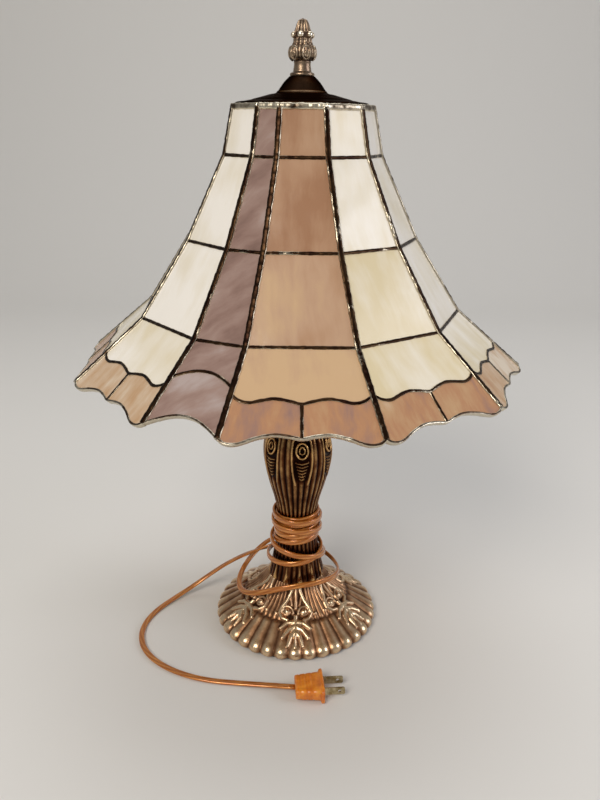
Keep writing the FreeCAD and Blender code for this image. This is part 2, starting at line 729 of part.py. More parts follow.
def pane(middle, width, upper, lower):
    """One plain pane: a trapezium set back from the solder on all four sides."""
    top, across, down, normal, half_top, half_low = facet(middle, width, upper, lower)
    high = slope_length(width, upper, lower)
    lean = (half_low - half_top) / high
    side = side_inset(width, normal, thick) * math.hypot(1, lean)
    start = solder_half + gap
    end = high - solder_half - gap
    near = half_top + lean * start - side
    far = half_top + lean * end - side
    outline = [("line", [(-near, start), (near, start)]), ("line", [(near, start), (far, end)]),
               ("line", [(far, end), (-far, end)]), ("line", [(-far, end), (-near, start)])]
    return plate(top, across, down, normal, outline, thick, 0)


# The scallops, as (share of the way across from the middle, millimetres further down the slope).
SEAM_WIDE = [(0, 7.0), (0.16, 5.0), (0.38, 3.2), (0.56, 4.6), (0.72, 6.2), (0.88, 4.2), (1, 0)]
EDGE_WIDE = [(0, -0.3), (0.16, -2.0), (0.34, -2.9), (0.55, -0.6), (0.78, 3.8), (0.92, 2.9), (1, 0)]
SEAM_NARROW = [(0, -13.0), (0.35, -12.0), (0.7, -8.8), (1, -4.5)]
EDGE_NARROW = [(0, -10.5), (0.35, -9.2), (0.7, -5.0), (1, 0)]


class LastFacet:
    """The flat facet that the fourth pane and the border below it share, with its scalloped lines."""

    def __init__(self, middle, width, kind):
        self.frame = facet(middle, width, RIB[3], RIB[4])
        normal, self.half_top, half_low = self.frame[3:]
        self.high = slope_length(width, RIB[3], RIB[4])
        self.lean = (half_low - self.half_top) / self.high
        self.side = side_inset(width, normal, thick + proud) * math.hypot(1, self.lean)
        self.seam_down = self.high * size("border_share")
        self.narrow = kind == "narrow"
        self.seam = SEAM_NARROW if self.narrow else SEAM_WIDE
        self.edge = EDGE_NARROW if self.narrow else EDGE_WIDE

    def reach(self, down):
        """How far the facet's glass reaches to each side, this far down the slope."""
        return self.half_top + self.lean * down - self.side

    def scallop(self, shape, base, part="all"):
        """A scalloped line from left to right, its base this far down the slope; part is 'all', or
        'left' or 'right' of the middle."""
        right = [(share * self.reach(base + drop), base + drop) for share, drop in shape]
        left = [(-s, t) for s, t in reversed(right)]
        return {"left": left, "right": right, "all": left + right[1:]}[part]

    def seam_line(self, shift, part="all"):
        return self.scallop(self.seam, self.seam_down + shift, part)

    def edge_line(self, shift, part="all"):
        return self.scallop(self.edge, self.high + shift, part)

    def curves(self, line):
        """A whole line as outline edges: one curve, or on a wide panel two that meet at the middle."""
        half = len(line) // 2
        return [("curve", line)] if self.narrow else [("curve", line[:half + 1]), ("curve", line[half:])]

    def plate(self, outline, deep, lift):
        return plate(*self.frame[:4], outline, deep, lift)


def last_row(last):
    """The fourth pane, whose lower edge is scalloped."""
    low = last.seam_line(-solder_half - gap)[::-1]
    start = solder_half + gap
    near = last.reach(start)
    outline = [("line", [(-near, start), (near, start)]), ("line", [(near, start), low[0]])]
    outline += last.curves(low) + [("line", [low[-1], (-near, start)])]
    return last.plate(outline, thick, 0)


def clear_of_middle(points, clear):
    """A half line whose end at the middle seam is moved out to clear it."""
    moved = list(points)
    index, neighbour = (0, 1) if abs(points[0][0]) < abs(points[-1][0]) else (-1, -2)
    other = moved[neighbour]
    down = moved[index][1]
    share = clear / abs(other[0])
    moved[index] = (math.copysign(clear, other[0]), down + (other[1] - down) * share)
    return moved


MIDDLE_BEAD_SHARE = 0.75


def border_panes(last):
    """The border below the scalloped seam: one pane in a narrow panel and two in a wide one."""
    panes = []
    for part in (["all"] if last.narrow else ["left", "right"]):
        upper = last.seam_line(solder_half + gap, part)
        lower = last.edge_line(-solder_half - gap, part)
        if part != "all":
            upper = clear_of_middle(upper, solder_half * MIDDLE_BEAD_SHARE + gap)
            lower = clear_of_middle(lower, solder_half * MIDDLE_BEAD_SHARE + gap)
        lower = lower[::-1]
        outline = [("curve", upper), ("line", [upper[-1], lower[0]]), ("curve", lower),
                   ("line", [lower[-1], upper[0]])]
        panes.append(last.plate(outline, thick, 0))
    return panes


# The bead's section, as (share of its half width down the slope, share of how proud it stands).
BEAD_FACE = [(-1, 0.4), (-0.5, 1), (0.5, 1), (1, 0.4)]


def solder_bar(middle, width, corner, facets):
    """The straight solder bead along one row seam, square to the facets that meet there and cut off
    at the ribs' solder."""
    half = math.radians(width / 2)
    turn = math.radians(middle)
    outward = Vector(math.sin(turn), -math.cos(turn), 0)
    across = Vector(math.cos(turn), math.sin(turn), 0)
    centre = outward * (corner[0] * math.cos(half)) + Vector(0, 0, corner[1])
    normal = Vector()
    for upper, lower in facets:
        normal = normal + facet(middle, width, upper, lower)[3]
    normal.normalize()
    down = normal.cross(across).normalize()
    section = [centre + down * (solder_half * wide) + normal * (proud * high) for wide, high in BEAD_FACE]
    section += [centre + down * (solder_half * wide) - normal * (thick + proud * high)
                for wide, high in BEAD_FACE[::-1]]
    wires = []
    for side in (-1, 1):
        rib_turn = turn + side * half
        rib_across = Vector(math.cos(rib_turn), math.sin(rib_turn), 0)
        ends = []
        for point in section:
            # walk along the chord until the rib's solder is a gap away
            distance = (-side * (solder_half + gap) - rib_across.dot(point)) / rib_across.dot(across)
            ends.append(point + across * distance)
        ends.append(ends[0])
        wires.append(Part.makePolygon(ends))
    return Part.makeLoft(wires, True, True)


def curved_bead(last, line):
    """The solder bead along one of the last facet's scalloped lines."""
    upper = line(-solder_half)
    lower = line(solder_half)[::-1]
    outline = last.curves(upper) + [("line", [upper[-1], lower[0]])]
    outline += last.curves(lower) + [("line", [lower[-1], upper[0]])]
    return last.plate(outline, thick + proud, proud)


def middle_bead(last):
    """The short bead between the two border panes of a wide panel."""
    half = solder_half * MIDDLE_BEAD_SHARE
    start = last.seam_down + last.seam[0][1] + solder_half + gap
    end = last.high + min(last.edge[0][1], last.edge[1][1]) - solder_half - gap
    outline = [("line", [(-half, start), (half, start)]), ("line", [(half, start), (half, end)]),
               ("line", [(half, end), (-half, end)]), ("line", [(-half, end), (-half, start)])]
    return last.plate(outline, thick + proud, proud)


def rib_outline(distance):
    """The rib's corners moved square to it by distance; a corner moves along the bisector."""
    squares = []
    for (r1, z1), (r2, z2) in zip(RIB, RIB[1:]):
        length = math.hypot(r2 - r1, z2 - z1)
        squares.append(Vector((z1 - z2) / length, 0, (r2 - r1) / length))
    moved = []
    for (r, z), before, after in zip(RIB, squares[:1] + squares, squares + squares[-1:]):
        both = before + after
        moved.append(Vector(r, 0, z) + both * (2 * distance / both.Length ** 2))
    return moved


def rib_bead(angle):
    """The solder bead down one rib: a flat band that follows the rib's outline."""
    turn = math.radians(angle)
    outward = Vector(math.sin(turn), -math.cos(turn), 0)
    across = Vector(math.cos(turn), math.sin(turn), 0)
    corners = rib_outline(proud) + rib_outline(-thick - proud)[::-1]
    places = [outward * corner.x + Vector(0, 0, corner.z) - across * solder_half for corner in corners]
    return Part.Face(Part.makePolygon(places + places[:1])).extrude(across * (2 * solder_half))


panels = panel_list()
last_facets = [LastFacet(middle, width, kind) for kind, middle, width in panels]
for number, ((kind, middle, width), last) in enumerate(zip(panels, last_facets), start=1):
    rows = [pane(middle, width, RIB[i], RIB[i + 1]) for i in range(3)]
    solids("glass_panel_%02d" % number, rows + [last_row(last)] + border_panes(last))

solids("rib_solder", [rib_bead(middle - width / 2) for kind, middle, width in panels])
for row, label in ((1, "row_solder_upper"), (2, "row_solder_middle"), (3, "row_solder_lower")):
    solids(label, [solder_bar(middle, width, RIB[row], [RIB[row - 1:row + 1], RIB[row:row + 2]])
                   for kind, middle, width in panels])
solids("top_solder", [solder_bar(middle, width, RIB[0], [RIB[:2]]) for kind, middle, width in panels])
solids("scallop_solder", [curved_bead(last, last.seam_line) for last in last_facets])
solids("edge_solder", [curved_bead(last, last.edge_line) for last in last_facets])
solids("border_solder", [middle_bead(last) for last in last_facets if not last.narrow])

# The spun cap closes the shade's mouth and stands on the brass ring soldered inside it.
CAP_SOLDER_GAP = 0.3
RING_CAP_GAP = 0.05
RING_GLASS_GAP = 0.42
RING_THICK = 1.6
RING_HIGH = 5.0
# The cap's two faces, as (radius, how far below its top), from the rim to the middle.
CAP_OUTSIDE = [("cap_radius * 0.88", 17.2), ("cap_radius * 0.64", 14.4), ("cap_radius * 0.37", 10.9),
               ("cap_radius * 0.36", 9.7), ("cap_top_radius + 4", 4), ("cap_top_radius", 0),
               ("stud_radius + cap_stud_gap", 0)]
CAP_INSIDE = [("cap_radius * 0.88 - 0.5", 17.6), ("cap_radius * 0.64 - 0.5", 14.8),
              ("cap_radius * 0.36 - 1", 10.5), ("cap_top_radius + 3", 4), ("cap_top_radius - 1", 0),
              ("stud_radius + cap_stud_gap", 0)]
cap_rim = "shade_top + solder_half + %g" % CAP_SOLDER_GAP
outside = [(radius, "cap_top - %g" % drop) for radius, drop in CAP_OUTSIDE]
inside = [(radius, "cap_top - cap_wall - %g" % drop) for radius, drop in CAP_INSIDE]
turned("shade_cap", inside[::-1] + [("cap_radius - cap_wall / 2", cap_rim), ("cap_radius + 1", cap_rim),
                                    ("cap_radius + 1", cap_rim + " + cap_wall")] + outside)
ring_outer = size("shade_top_radius") * math.cos(math.radians(WIDE / 2)) - thick - proud - RING_GLASS_GAP
ring_low = size(cap_rim) - RING_CAP_GAP - RING_HIGH
ring = Part.makeCylinder(ring_outer, RING_HIGH, Vector(0, 0, ring_low))
ring = ring.cut(Part.makeCylinder(ring_outer - RING_THICK, RING_HIGH, Vector(0, 0, ring_low)))
solids("shade_ring", [ring])

# ---------------------------------------------------------------------------------------------
# The finial
# ---------------------------------------------------------------------------------------------

finial_low = "cap_top + turning_gap"


STUD_THREAD_GAP = 0.06
STUD_END_GAP = 0.5
# The finial's outline, as (share of the greatest radius, share of the height): its flange, neck,
# knop, waist, collar and bud.
FINIAL = [(0.9, 0), (0.9, 0.05), (0.64, 0.1), (0.6, 0.24), (0.82, 0.27), (1.0, 0.38), (0.9, 0.5),
          (0.62, 0.6), (0.82, 0.66), (0.78, 0.7), (0.56, 0.73), (0.5, 0.85), (0.28, 0.96), (0, 1)]
thread = "stud_radius + %g" % STUD_THREAD_GAP
thread_end = "cap_top + stud_high + %g" % STUD_END_GAP
outline = [("finial_radius * %g" % radius if radius else "0", finial_low + " + finial_high * %g" % share)
           for radius, share in FINIAL]
turned("finial", [(thread, finial_low)] + outline + [("0", thread_end), (thread, thread_end)])

# ---------------------------------------------------------------------------------------------
# The cord: its lead in from the bushing, the winding round the stem, the lead out and the plug
# ---------------------------------------------------------------------------------------------

cord_radius = size("cord_solid") / 2


def tube(label, points):
    """A round tube along straight runs joined by tangent arcs, each as large as its runs allow."""
    corners = [Vector(*p) for p in points]
    edges = []
    last = corners[0]
    for i in range(1, len(corners) - 1):
        before = corners[i] - corners[i - 1]
        after = corners[i + 1] - corners[i]
        run = min(before.Length, after.Length)
        turn = before.getAngle(after)
        back = 0.45 * run
        radius = back / math.tan(turn / 2)
        print("%s corner %2d radius %.1f turn %.0f run %.0f" % (label, i, radius, math.degrees(turn), run))
        start = corners[i] - before.normalize() * back
        end = corners[i] + after.normalize() * back
        inward = (start + end) * 0.5 - corners[i]
        middle = corners[i] + inward.normalize() * (radius / math.cos(turn / 2) - radius)
        edges.append(Part.LineSegment(last, start).toShape())
        edges.append(Part.Arc(start, middle, end).toShape())
        last = end
    edges.append(Part.LineSegment(last, corners[-1]).toShape())
    path = Part.Wire(edges)
    first = corners[1] - corners[0]
    section = Part.Wire(Part.makeCircle(cord_radius, corners[0], first))
    solid = Part.Solid(path.makePipeShell([section], True, False))
    ideal = math.pi * cord_radius ** 2 * path.Length
    print("%s length %.1f volume %.1f of %.1f" % (label, path.Length, solid.Volume, ideal))
    return solids(label, [solid])


LEAD_IN = [(0, 44.4, 20.9), (0, 51.6, 31.8), (-4, 56.2, 38.8), (-11.4, 59, 43.3), (-20.2, 58.6, 44.8),
           (-28.6, 55, 43), (-37, 48.4, 39), (-45.5, 37.5, 34.5), (-51.5, 24, 31), (-54.5, 8.5, 28.8),
           (-52, -8, 28.5), (-43, -21, 33), (-30, -29, 40), (-15, -33, 46.5), (1, -33.5, 50), (16, -30, 50.5),
           (29, -20, 48.5), (38, -6, 45), (40, 10, 42.5), (34, 24, 44), (23, 31.5, 49), (11, 33, 55),
           (0, 28.5, 61)]
LEAD_OUT = [(-4, 27, 58), (-18, 27.5, 56), (-34, 28.5, 50), (-51, 31.5, 41), (-69, 33, 29.5),
            (-87, 30.5, 17), (-103, 24, 7.5), (-118, 13, 2.6), (-130, -2, 1.6), (-138, -20, 1.5),
            (-139.5, -40, 1.5), (-133, -60, 1.5), (-118.5, -77, 1.5), (-98, -90, 1.5),
            (-73, -98.5, 1.5), (-46, -101.5, 1.7), (-21, -105, 3.2), (0.5, -111, 7)]
tube("cord_lead_in", LEAD_IN)
tube("cord_lead_out", LEAD_OUT)


def winding_solid():
    """The outer shape of the turns round the stem, clear of it by the winding gap."""
    stem = column_points() + vase_points()[1:4]
    curve = spline(stem)
    low, high = size("winding_low"), size("winding_high")
    inner = []
    steps = 8
    for i in range(steps + 1):
        z = low + (high - low) * i / steps
        crossing = curve.intersect(Part.LineSegment(Vector(0, 0, z), Vector(200, 0, z)))[0]
        inner.append((crossing.X + size("winding_gap"), z))
    outer = [(r + size("winding_thick"), z) for r, z in inner]
    return between(outer, inner)


solids("cord_winding", [winding_solid()])

PLUG_YAW = 5
plug_place = Placement(Vector(*LEAD_OUT[-1]), Rotation(Vector(0, 0, 1), PLUG_YAW))
plug_wide, plug_thick = size("plug_wide"), size("plug_thick")
plug_long = size("plug_long")


def plug_section(x, wide, thick_here):
    """A rectangle across the plug at x along it."""
    corners = [Vector(x, s * wide / 2, t * thick_here / 2) for s, t in ((-1, -1), (1, -1), (1, 1), (-1, 1))]
    return Part.makePolygon(corners + [corners[0]])


CORD_END_WIDE = 0.84
CORD_END_THICK = 0.8
BLADE_CORNER = 1.5
BLADE_HOLE_RADIUS = 1.5
BLADE_HOLE_BACK = 4.5
grip = Part.makeLoft([plug_section(0, plug_wide * CORD_END_WIDE, plug_thick * CORD_END_THICK),
                      plug_section(plug_long, plug_wide, plug_thick)], True, True)
flange = Part.makeBox(size("plug_flange_thick"), size("plug_flange"), size("plug_flange_high"),
                      Vector(plug_long, -size("plug_flange") / 2, -size("plug_flange_high") / 2))
solids("plug_body", [grip.fuse(flange).removeSplitter().Solids[0]], plug_place)

blade_start = size("plug_long + plug_flange_thick")
blade_end = blade_start + size("blade_long")
blades = []
for side in (-1, 1):
    centre = side * size("blade_pitch") / 2
    blade = Part.makeBox(size("blade_long"), size("blade_thick"), size("blade_wide"),
                         Vector(blade_start, centre - size("blade_thick") / 2, -size("blade_wide") / 2))
    tip = [e for e in blade.Edges if abs(e.CenterOfMass.x - blade_end) < 0.01
           and e.Length < size("blade_wide") / 2]
    hole = Part.makeCylinder(BLADE_HOLE_RADIUS, 2 * size("blade_thick"),
                             Vector(blade_end - BLADE_HOLE_BACK, centre - size("blade_thick"), 0),
                             Vector(0, 1, 0))
    blades.append(blade.makeFillet(BLADE_CORNER, tip).cut(hole))
solids("plug_blades", blades, plug_place)

# ---------------------------------------------------------------------------------------------
# Check every object and write one file per sub-part
# ---------------------------------------------------------------------------------------------

doc.recompute()
faults = [o.Label for o in doc.Objects if "Invalid" in o.State or "Error" in o.State]
for part in parts:
    if part.Shape.isNull() or not part.Shape.isValid() or not part.Shape.Solids:
        faults.append(part.Label + " shape")
if faults:
    raise RuntimeError("faulty objects: " + ", ".join(faults))

os.makedirs("parts", exist_ok=True)
for part in parts:
    part.Shape.exportStep("parts/%s.step" % part.Label)
print("wrote %d sub-parts" % len(parts))
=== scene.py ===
# %% [markdown]
# # A stained glass table lamp
# This lesson dresses a imported CAD model of a table lamp: a bell shade of sixty-nine flat panes held
# in soldered copper foil, a cast stem and foot in antique brass, and an amber twin cord wound round
# the neck. The CAD holds the sizes and the joints. Here each visible surface is worked out again as
# a fine surface in the same place, and gets the finish of the real thing.
# We start by loading the frame.

# %% Load the frame
import math

import bpy
import numpy as np
from mathutils import Matrix, Vector


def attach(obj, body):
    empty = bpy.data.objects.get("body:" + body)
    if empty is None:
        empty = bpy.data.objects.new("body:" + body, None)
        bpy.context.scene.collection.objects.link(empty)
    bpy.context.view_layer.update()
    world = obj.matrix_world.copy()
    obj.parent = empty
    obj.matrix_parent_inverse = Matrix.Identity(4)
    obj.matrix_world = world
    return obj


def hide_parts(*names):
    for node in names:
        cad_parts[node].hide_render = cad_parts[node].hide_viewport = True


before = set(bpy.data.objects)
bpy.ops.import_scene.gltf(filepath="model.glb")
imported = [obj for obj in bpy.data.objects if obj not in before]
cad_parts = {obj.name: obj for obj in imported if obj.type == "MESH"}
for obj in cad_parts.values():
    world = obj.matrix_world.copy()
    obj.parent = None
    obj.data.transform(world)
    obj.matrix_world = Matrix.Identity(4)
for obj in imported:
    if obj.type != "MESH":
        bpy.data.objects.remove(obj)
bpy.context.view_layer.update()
scene = bpy.context.scene
TAU = 2 * math.pi
MM = 0.001

# %% [markdown]
# ## Small tools
# A piece is a grid of points joined by quads, so a few helpers carry the whole lesson: they join a
# grid, turn points and faces into an object that rides on a CAD body, add a shader node and begin a
# material. Colours are written as they look on a screen, in sRGB hex, and one function turns them
# into the linear values that the renderer counts with.

# %% Colour, node and mesh helpers


def linear(hex_colour):
    """An sRGB hex colour as linear red, green, blue and alpha."""
    values = [int(hex_colour[i:i + 2], 16) / 255 for i in (1, 3, 5)]
    return [v / 12.92 if v <= 0.04045 else ((v + 0.055) / 1.055) ** 2.4 for v in values] + [1.0]


def give(tree, node, socket, value):
    """Set a node's input to a value or a hex colour, or link it to an output or a node's first one."""
    if isinstance(value, bpy.types.Node):
        value = next(output for output in value.outputs if output.enabled)
    if isinstance(value, bpy.types.NodeSocket):
        tree.links.new(value, node.inputs[socket])
    else:
        node.inputs[socket].default_value = linear(value) if isinstance(value, str) else value


def add(tree, kind, inputs=None, stops=None, **settings):
    """Add a shader node. inputs maps each socket to what it is given, and stops fill a colour ramp."""
    node = tree.nodes.new("ShaderNode" + kind)
    for name, value in settings.items():
        setattr(node, name, value)
    for place, (position, colour) in enumerate(stops or []):
        if place > 1:
            node.color_ramp.elements.new(position)
        node.color_ramp.elements[place].position = position
        node.color_ramp.elements[place].color = linear(colour)
    for socket, value in (inputs or {}).items():
        give(tree, node, socket, value)
    return node


def begin(name):
    """A new material, its tree and its principled shader."""
    material = bpy.data.materials.new(name)
    material.use_nodes = True
    return material, material.node_tree, material.node_tree.nodes["Principled BSDF"]


def settle(tree, shader, **values):
    """Give the shader's own sockets their values; an underscore in a name stands for a space."""
    for name, value in values.items():
        give(tree, shader, name.replace("_", " "), value)


def grid_faces(rows, columns, wrap_rows=False, wrap_columns=False):
    """Quads of a grid of points numbered row by row; a wrapped side joins its last line to its
    first."""
    r = np.arange(rows if wrap_rows else rows - 1)[:, None]
    c = np.arange(columns if wrap_columns else columns - 1)[None, :]
    r2, c2 = (r + 1) % rows, (c + 1) % columns
    quads = np.stack(np.broadcast_arrays(r * columns + c, r * columns + c2, r2 * columns + c2,
                                         r2 * columns + c), axis=-1)
    return quads.reshape(-1, 4)


def tube_faces(rows, columns):
    """The faces of a closed tube: quads round it, and a face over each end."""
    end = np.arange(columns)[None, :]
    return [grid_faces(rows, columns, wrap_columns=True), end[:, ::-1], end + (rows - 1) * columns]


def join(parts):
    """The points and faces of several meshes as those of one."""
    starts = np.cumsum([0] + [len(points) for points, faces in parts])
    return (np.concatenate([points for points, faces in parts]),
            [block + start for (points, faces), start in zip(parts, starts) for block in faces])


def piece(name, points, faces, material, body=None, replaces=(), slot=None, uv=None, values=None,
          second=None, second_faces=None):
    """A finished mesh object that rides on a CAD body. faces is a list of index arrays; uv gives each
    point its place on the pattern; values names attributes, a number for each point; second is a
    material for the faces marked in second_faces."""
    mesh = bpy.data.meshes.new(name)
    faces = [list(map(int, face)) for block in faces for face in block]
    mesh.from_pydata(np.asarray(points, float).reshape(-1, 3).tolist(), [], faces)
    mesh.polygons.foreach_set("use_smooth", np.ones(len(mesh.polygons), bool))
    if uv is not None:
        corners = np.empty(len(mesh.loops), np.int32)
        mesh.loops.foreach_get("vertex_index", corners)
        layer = mesh.uv_layers.new(name="pattern")
        layer.data.foreach_set("uv", np.asarray(uv, np.float32).reshape(-1, 2)[corners].ravel())
    for key, numbers in (values or {}).items():
        attribute = mesh.attributes.new(key, "FLOAT", "POINT")
        attribute.data.foreach_set("value", np.asarray(numbers, np.float32).ravel())
    mesh.materials.append(material)
    if second is not None:
        mesh.materials.append(second)
        mesh.polygons.foreach_set("material_index", np.asarray(second_faces, np.int32))
    mesh.update()
    made = bpy.data.objects.new(name, mesh)
    scene.collection.objects.link(made)
    if body:
        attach(made, body)
    if replaces:
        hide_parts(*replaces)
    return made


def unit(vectors):
    """The directions of some vectors."""
    return vectors / np.linalg.norm(vectors, axis=-1, keepdims=True)


def fade(value, low, high):
    """Nought below low, one above high, and smooth between."""
    t = np.clip((value - low) / (high - low), 0, 1)
    return t * t * (3 - 2 * t)


def round_angles(count):
    """Even angles round a section."""
    return np.arange(count) / count * TAU


def signed_power(value, power):
    """A power of the size of a value, with its sign."""
    return np.sign(value) * np.abs(value) ** power


def smooth_line(x, knots, values):
    """A smooth line through the knots: a cubic between each pair, whose slope at a knot is the mean
    of the slopes on its two sides."""
    knots, values = np.asarray(knots, float), np.asarray(values, float)
    steps = (np.diff(values, axis=0).T / np.diff(knots)).T
    slopes = np.concatenate([steps[:1], (steps[1:] + steps[:-1]) / 2, steps[-1:]])
    i = np.clip(np.searchsorted(knots, x, side="right") - 1, 0, len(knots) - 2)
    width = knots[i + 1] - knots[i]
    t = (x - knots[i]) / width
    if values.ndim > 1:
        t, width = t[:, None], width[:, None]
    return ((2 * t ** 3 - 3 * t ** 2 + 1) * values[i] + (t ** 3 - 2 * t ** 2 + t) * width * slopes[i]
            + (3 * t ** 2 - 2 * t ** 3) * values[i + 1] + (t ** 3 - t ** 2) * width * slopes[i + 1])


SHORTER, WEAKER, RIPPLE_SIZE = 0.62, 0.75, 2.6


def ripple(x, seed, longest, waves=7):
    """A smooth uneven line between about -1 and 1: a sum of sine waves, each shorter and weaker than
    the one before it by the same shares."""
    random = np.random.default_rng(seed)
    total = np.zeros_like(x)
    for wave in range(waves):
        length = longest * SHORTER ** wave
        total += WEAKER ** wave * np.sin(TAU * x / length + random.uniform(0, TAU))
    return total / RIPPLE_SIZE


# %% [markdown]
# ## The camera, the light and the table
# The lamp is seen from in front and a little above, at arm's length, so the shade's far rim nearly
# hides and the foot shows as an oval. Soft daylight comes from a large lamp at the upper left, with a
# weaker one on the right, and the pale table catches the shadow.

# %% Camera, lights and table
LENS = 33.4
CAMERA_AT = (0.0015, -0.594, 0.435)
CAMERA_DOWN = math.radians(20.4)
CAMERA_ROLL = math.radians(0.75)

camera = bpy.data.objects.new("camera", bpy.data.cameras.new("camera"))
scene.collection.objects.link(camera)
camera.data.lens = LENS
camera.data.clip_start = 0.02
camera.location = CAMERA_AT
camera.matrix_world = (Matrix.Translation(CAMERA_AT)
                       @ Matrix.Rotation(math.pi / 2 - CAMERA_DOWN, 4, "X")
                       @ Matrix.Rotation(CAMERA_ROLL, 4, "Z"))
scene.camera = camera
scene.view_settings.view_transform = "Standard"


def soft_lamp(name, place, aim, size, power, tint):
    """A large square lamp that points from place to aim."""
    light = bpy.data.objects.new(name, bpy.data.lights.new(name, "AREA"))
    light.data.shape = "SQUARE"
    light.data.size = size
    light.data.energy = power
    light.data.color = linear(tint)[:3]
    light.location = place
    light.rotation_euler = (Vector(aim) - Vector(place)).to_track_quat("-Z", "Y").to_euler()
    scene.collection.objects.link(light)
    return light


soft_lamp("window_left", (-0.78, -1.68, 1.6), (0, 0, 0.25), 1.0, 30, "#FFF8EE")
soft_lamp("window_right", (1.9, -0.35, 1.0), (0, 0, 0.3), 1.0, 13, "#F4F5FF")
soft_lamp("ceiling", (0.1, 0.5, 2.0), (0, 0, 0.2), 1.4, 12, "#FFFFFF")

world = bpy.data.worlds.new("room")
scene.world = world
world.use_nodes = True
background = world.node_tree.nodes["Background"]
background.inputs["Color"].default_value = linear("#DADADA")
background.inputs["Strength"].default_value = 0.42

# The sheet runs level under the lamp and curves up behind it, as a photographer's paper does.
TABLE_HALF, TABLE_FRONT, TABLE_BACK = 3.0, -2.0, 1.2
PAPER_BEND, PAPER_HIGH = 0.8, 2.6
table, tree, shader = begin("table_matt_paint")
settle(tree, shader, Base_Color="#D9D7D3", Roughness=0.8)
bend = np.linspace(0, math.pi / 2, 24)
run = np.concatenate([[TABLE_FRONT], TABLE_BACK + PAPER_BEND * np.sin(bend), [TABLE_BACK + PAPER_BEND]])
rise = np.concatenate([[0.0], PAPER_BEND * (1 - np.cos(bend)), [PAPER_HIGH]])
paper = [(side, y, z) for y, z in zip(run, rise) for side in (-TABLE_HALF, TABLE_HALF)]
floor = piece("table_sheet", paper, [grid_faces(len(run), 2)], table)
print("camera at", CAMERA_AT, "lens", LENS)

# %% [markdown]
# ## The cord
# A light two-core lamp cord: two bare copper strands in clear amber vinyl, side by side, 5.2 mm wide
# and 2.6 mm thick. It leaves a bushing at the back of the foot, goes once loosely round over the
# foot, is wound tightly round the neck for storage and then runs out to the plug. We choose the
# loose points and let a loop make the turns, and one NURBS spline through all of them is the
# cord's line. The flat section is then carried along that line, its flat side turned to the stem
# where it is wound and to the table where it lies.

# %% The cord's line
CORD_WIDE = 5.2 * MM
CORD_THICK = 2.6 * MM
LEAD_IN = [(0, 44.4, 20.9), (0, 51.6, 31.8), (-4, 56.2, 38.8), (-11.4, 59, 43.3), (-20.2, 58.6, 44.8),
           (-28.6, 55, 43), (-37, 48.4, 39), (-45.5, 37.5, 34.5), (-51.5, 24, 31), (-54.5, 8.5, 28.8),
           (-52, -8, 28.5), (-43, -21, 33), (-30, -29, 40), (-15, -33, 46.5), (1, -33.5, 50),
           (16, -30, 50.5), (29, -20, 48.5), (38, -6, 45), (40, 10, 42.5), (34, 24, 44),
           (23, 31.5, 49), (11, 33, 55), (0, 28.5, 61)]
LEAD_OUT = [(-4, 27, 58), (-18, 27.5, 56), (-34, 28.5, 50), (-51, 31.5, 41), (-69, 33, 29.5),
            (-87, 30.5, 17), (-103, 24, 7.5), (-118, 13, 2.6), (-130, -2, 1.6), (-138, -20, 1.5),
            (-139.5, -40, 1.5), (-133, -60, 1.5), (-118.5, -77, 1.5), (-98, -90, 1.5),
            (-73, -98.5, 1.5), (-46, -101.5, 1.7), (-21, -105, 3.2), (0.5, -111, 7)]
# The turns, from the back and round by the left: (turns so far, distance from the axis, height).
TURNS = [(0.10, 27.6, 62), (0.5, 25.0, 67), (1.0, 22.0, 78), (1.5, 19.9, 86), (2.5, 19.6, 91.4),
         (3.5, 19.3, 96.8), (4.5, 19.1, 102.2), (5.5, 19.0, 107.6), (6.0, 20.6, 110), (6.5, 21.9, 106),
         (7.5, 22.3, 98), (8.0, 22.9, 88), (8.5, 24.6, 75), (8.92, 27.0, 60)]
POINTS_A_TURN = 14
turn = np.arange(TURNS[0][0], TURNS[-1][0], 1 / POINTS_A_TURN)
knots = np.array(TURNS)
# The turns lie a little unevenly: by a quarter of a millimetre out, and a third up or down.
radius = smooth_line(turn, knots[:, 0], knots[:, 1]) + 0.25 * ripple(turn, 3, 1.7)
height = smooth_line(turn, knots[:, 0], knots[:, 2]) + 0.35 * ripple(turn, 4, 1.3)
angle = math.pi / 2 + TAU * turn
wound = np.stack([radius * np.cos(angle), radius * np.sin(angle), height], axis=1)
route = np.concatenate([LEAD_IN, wound, LEAD_OUT]) * MM

cord_curve = bpy.data.curves.new("cord_route", "CURVE")
cord_curve.dimensions = "3D"
line = cord_curve.splines.new("NURBS")
line.points.add(len(route) - 1)
line.points.foreach_set("co", np.c_[route, np.ones(len(route))].ravel())
line.order_u = 3
line.use_endpoint_u = True
line.resolution_u = 8
route_object = bpy.data.objects.new("cord_route", cord_curve)
line_mesh = bpy.data.meshes.new_from_object(route_object)
cord_line = np.empty(len(line_mesh.vertices) * 3)
line_mesh.vertices.foreach_get("co", cord_line)
cord_line = cord_line.reshape(-1, 3)
bpy.data.objects.remove(route_object)
bpy.data.meshes.remove(line_mesh)
steps = np.linalg.norm(np.diff(cord_line, axis=0), axis=1)
print("cord length", round(float(steps.sum()), 3), "points", len(cord_line))

# %% [markdown]
# ## The finish of the cord and the plug
# Clear amber PVC over bare twisted copper: the eye sees warm copper strands through a glossy skin,
# darker where the two cores meet. The strands are drawn as soft stripes on the cord's own pattern
# map, turned so that they run nearly along it. The plug is moulded in the same vinyl, thick enough to
# glow orange. Two small functions serve every later finish too: a noise whose grain is given in
# millimetres, and a bump whose depth is.

# %% Cord and plug materials


def noise(tree, place, grain_mm, detail, **more):
    """A noise with lumps about grain_mm across."""
    return add(tree, "TexNoise", {"Vector": place, "Scale": 1 / (grain_mm * MM), "Detail": detail, **more})


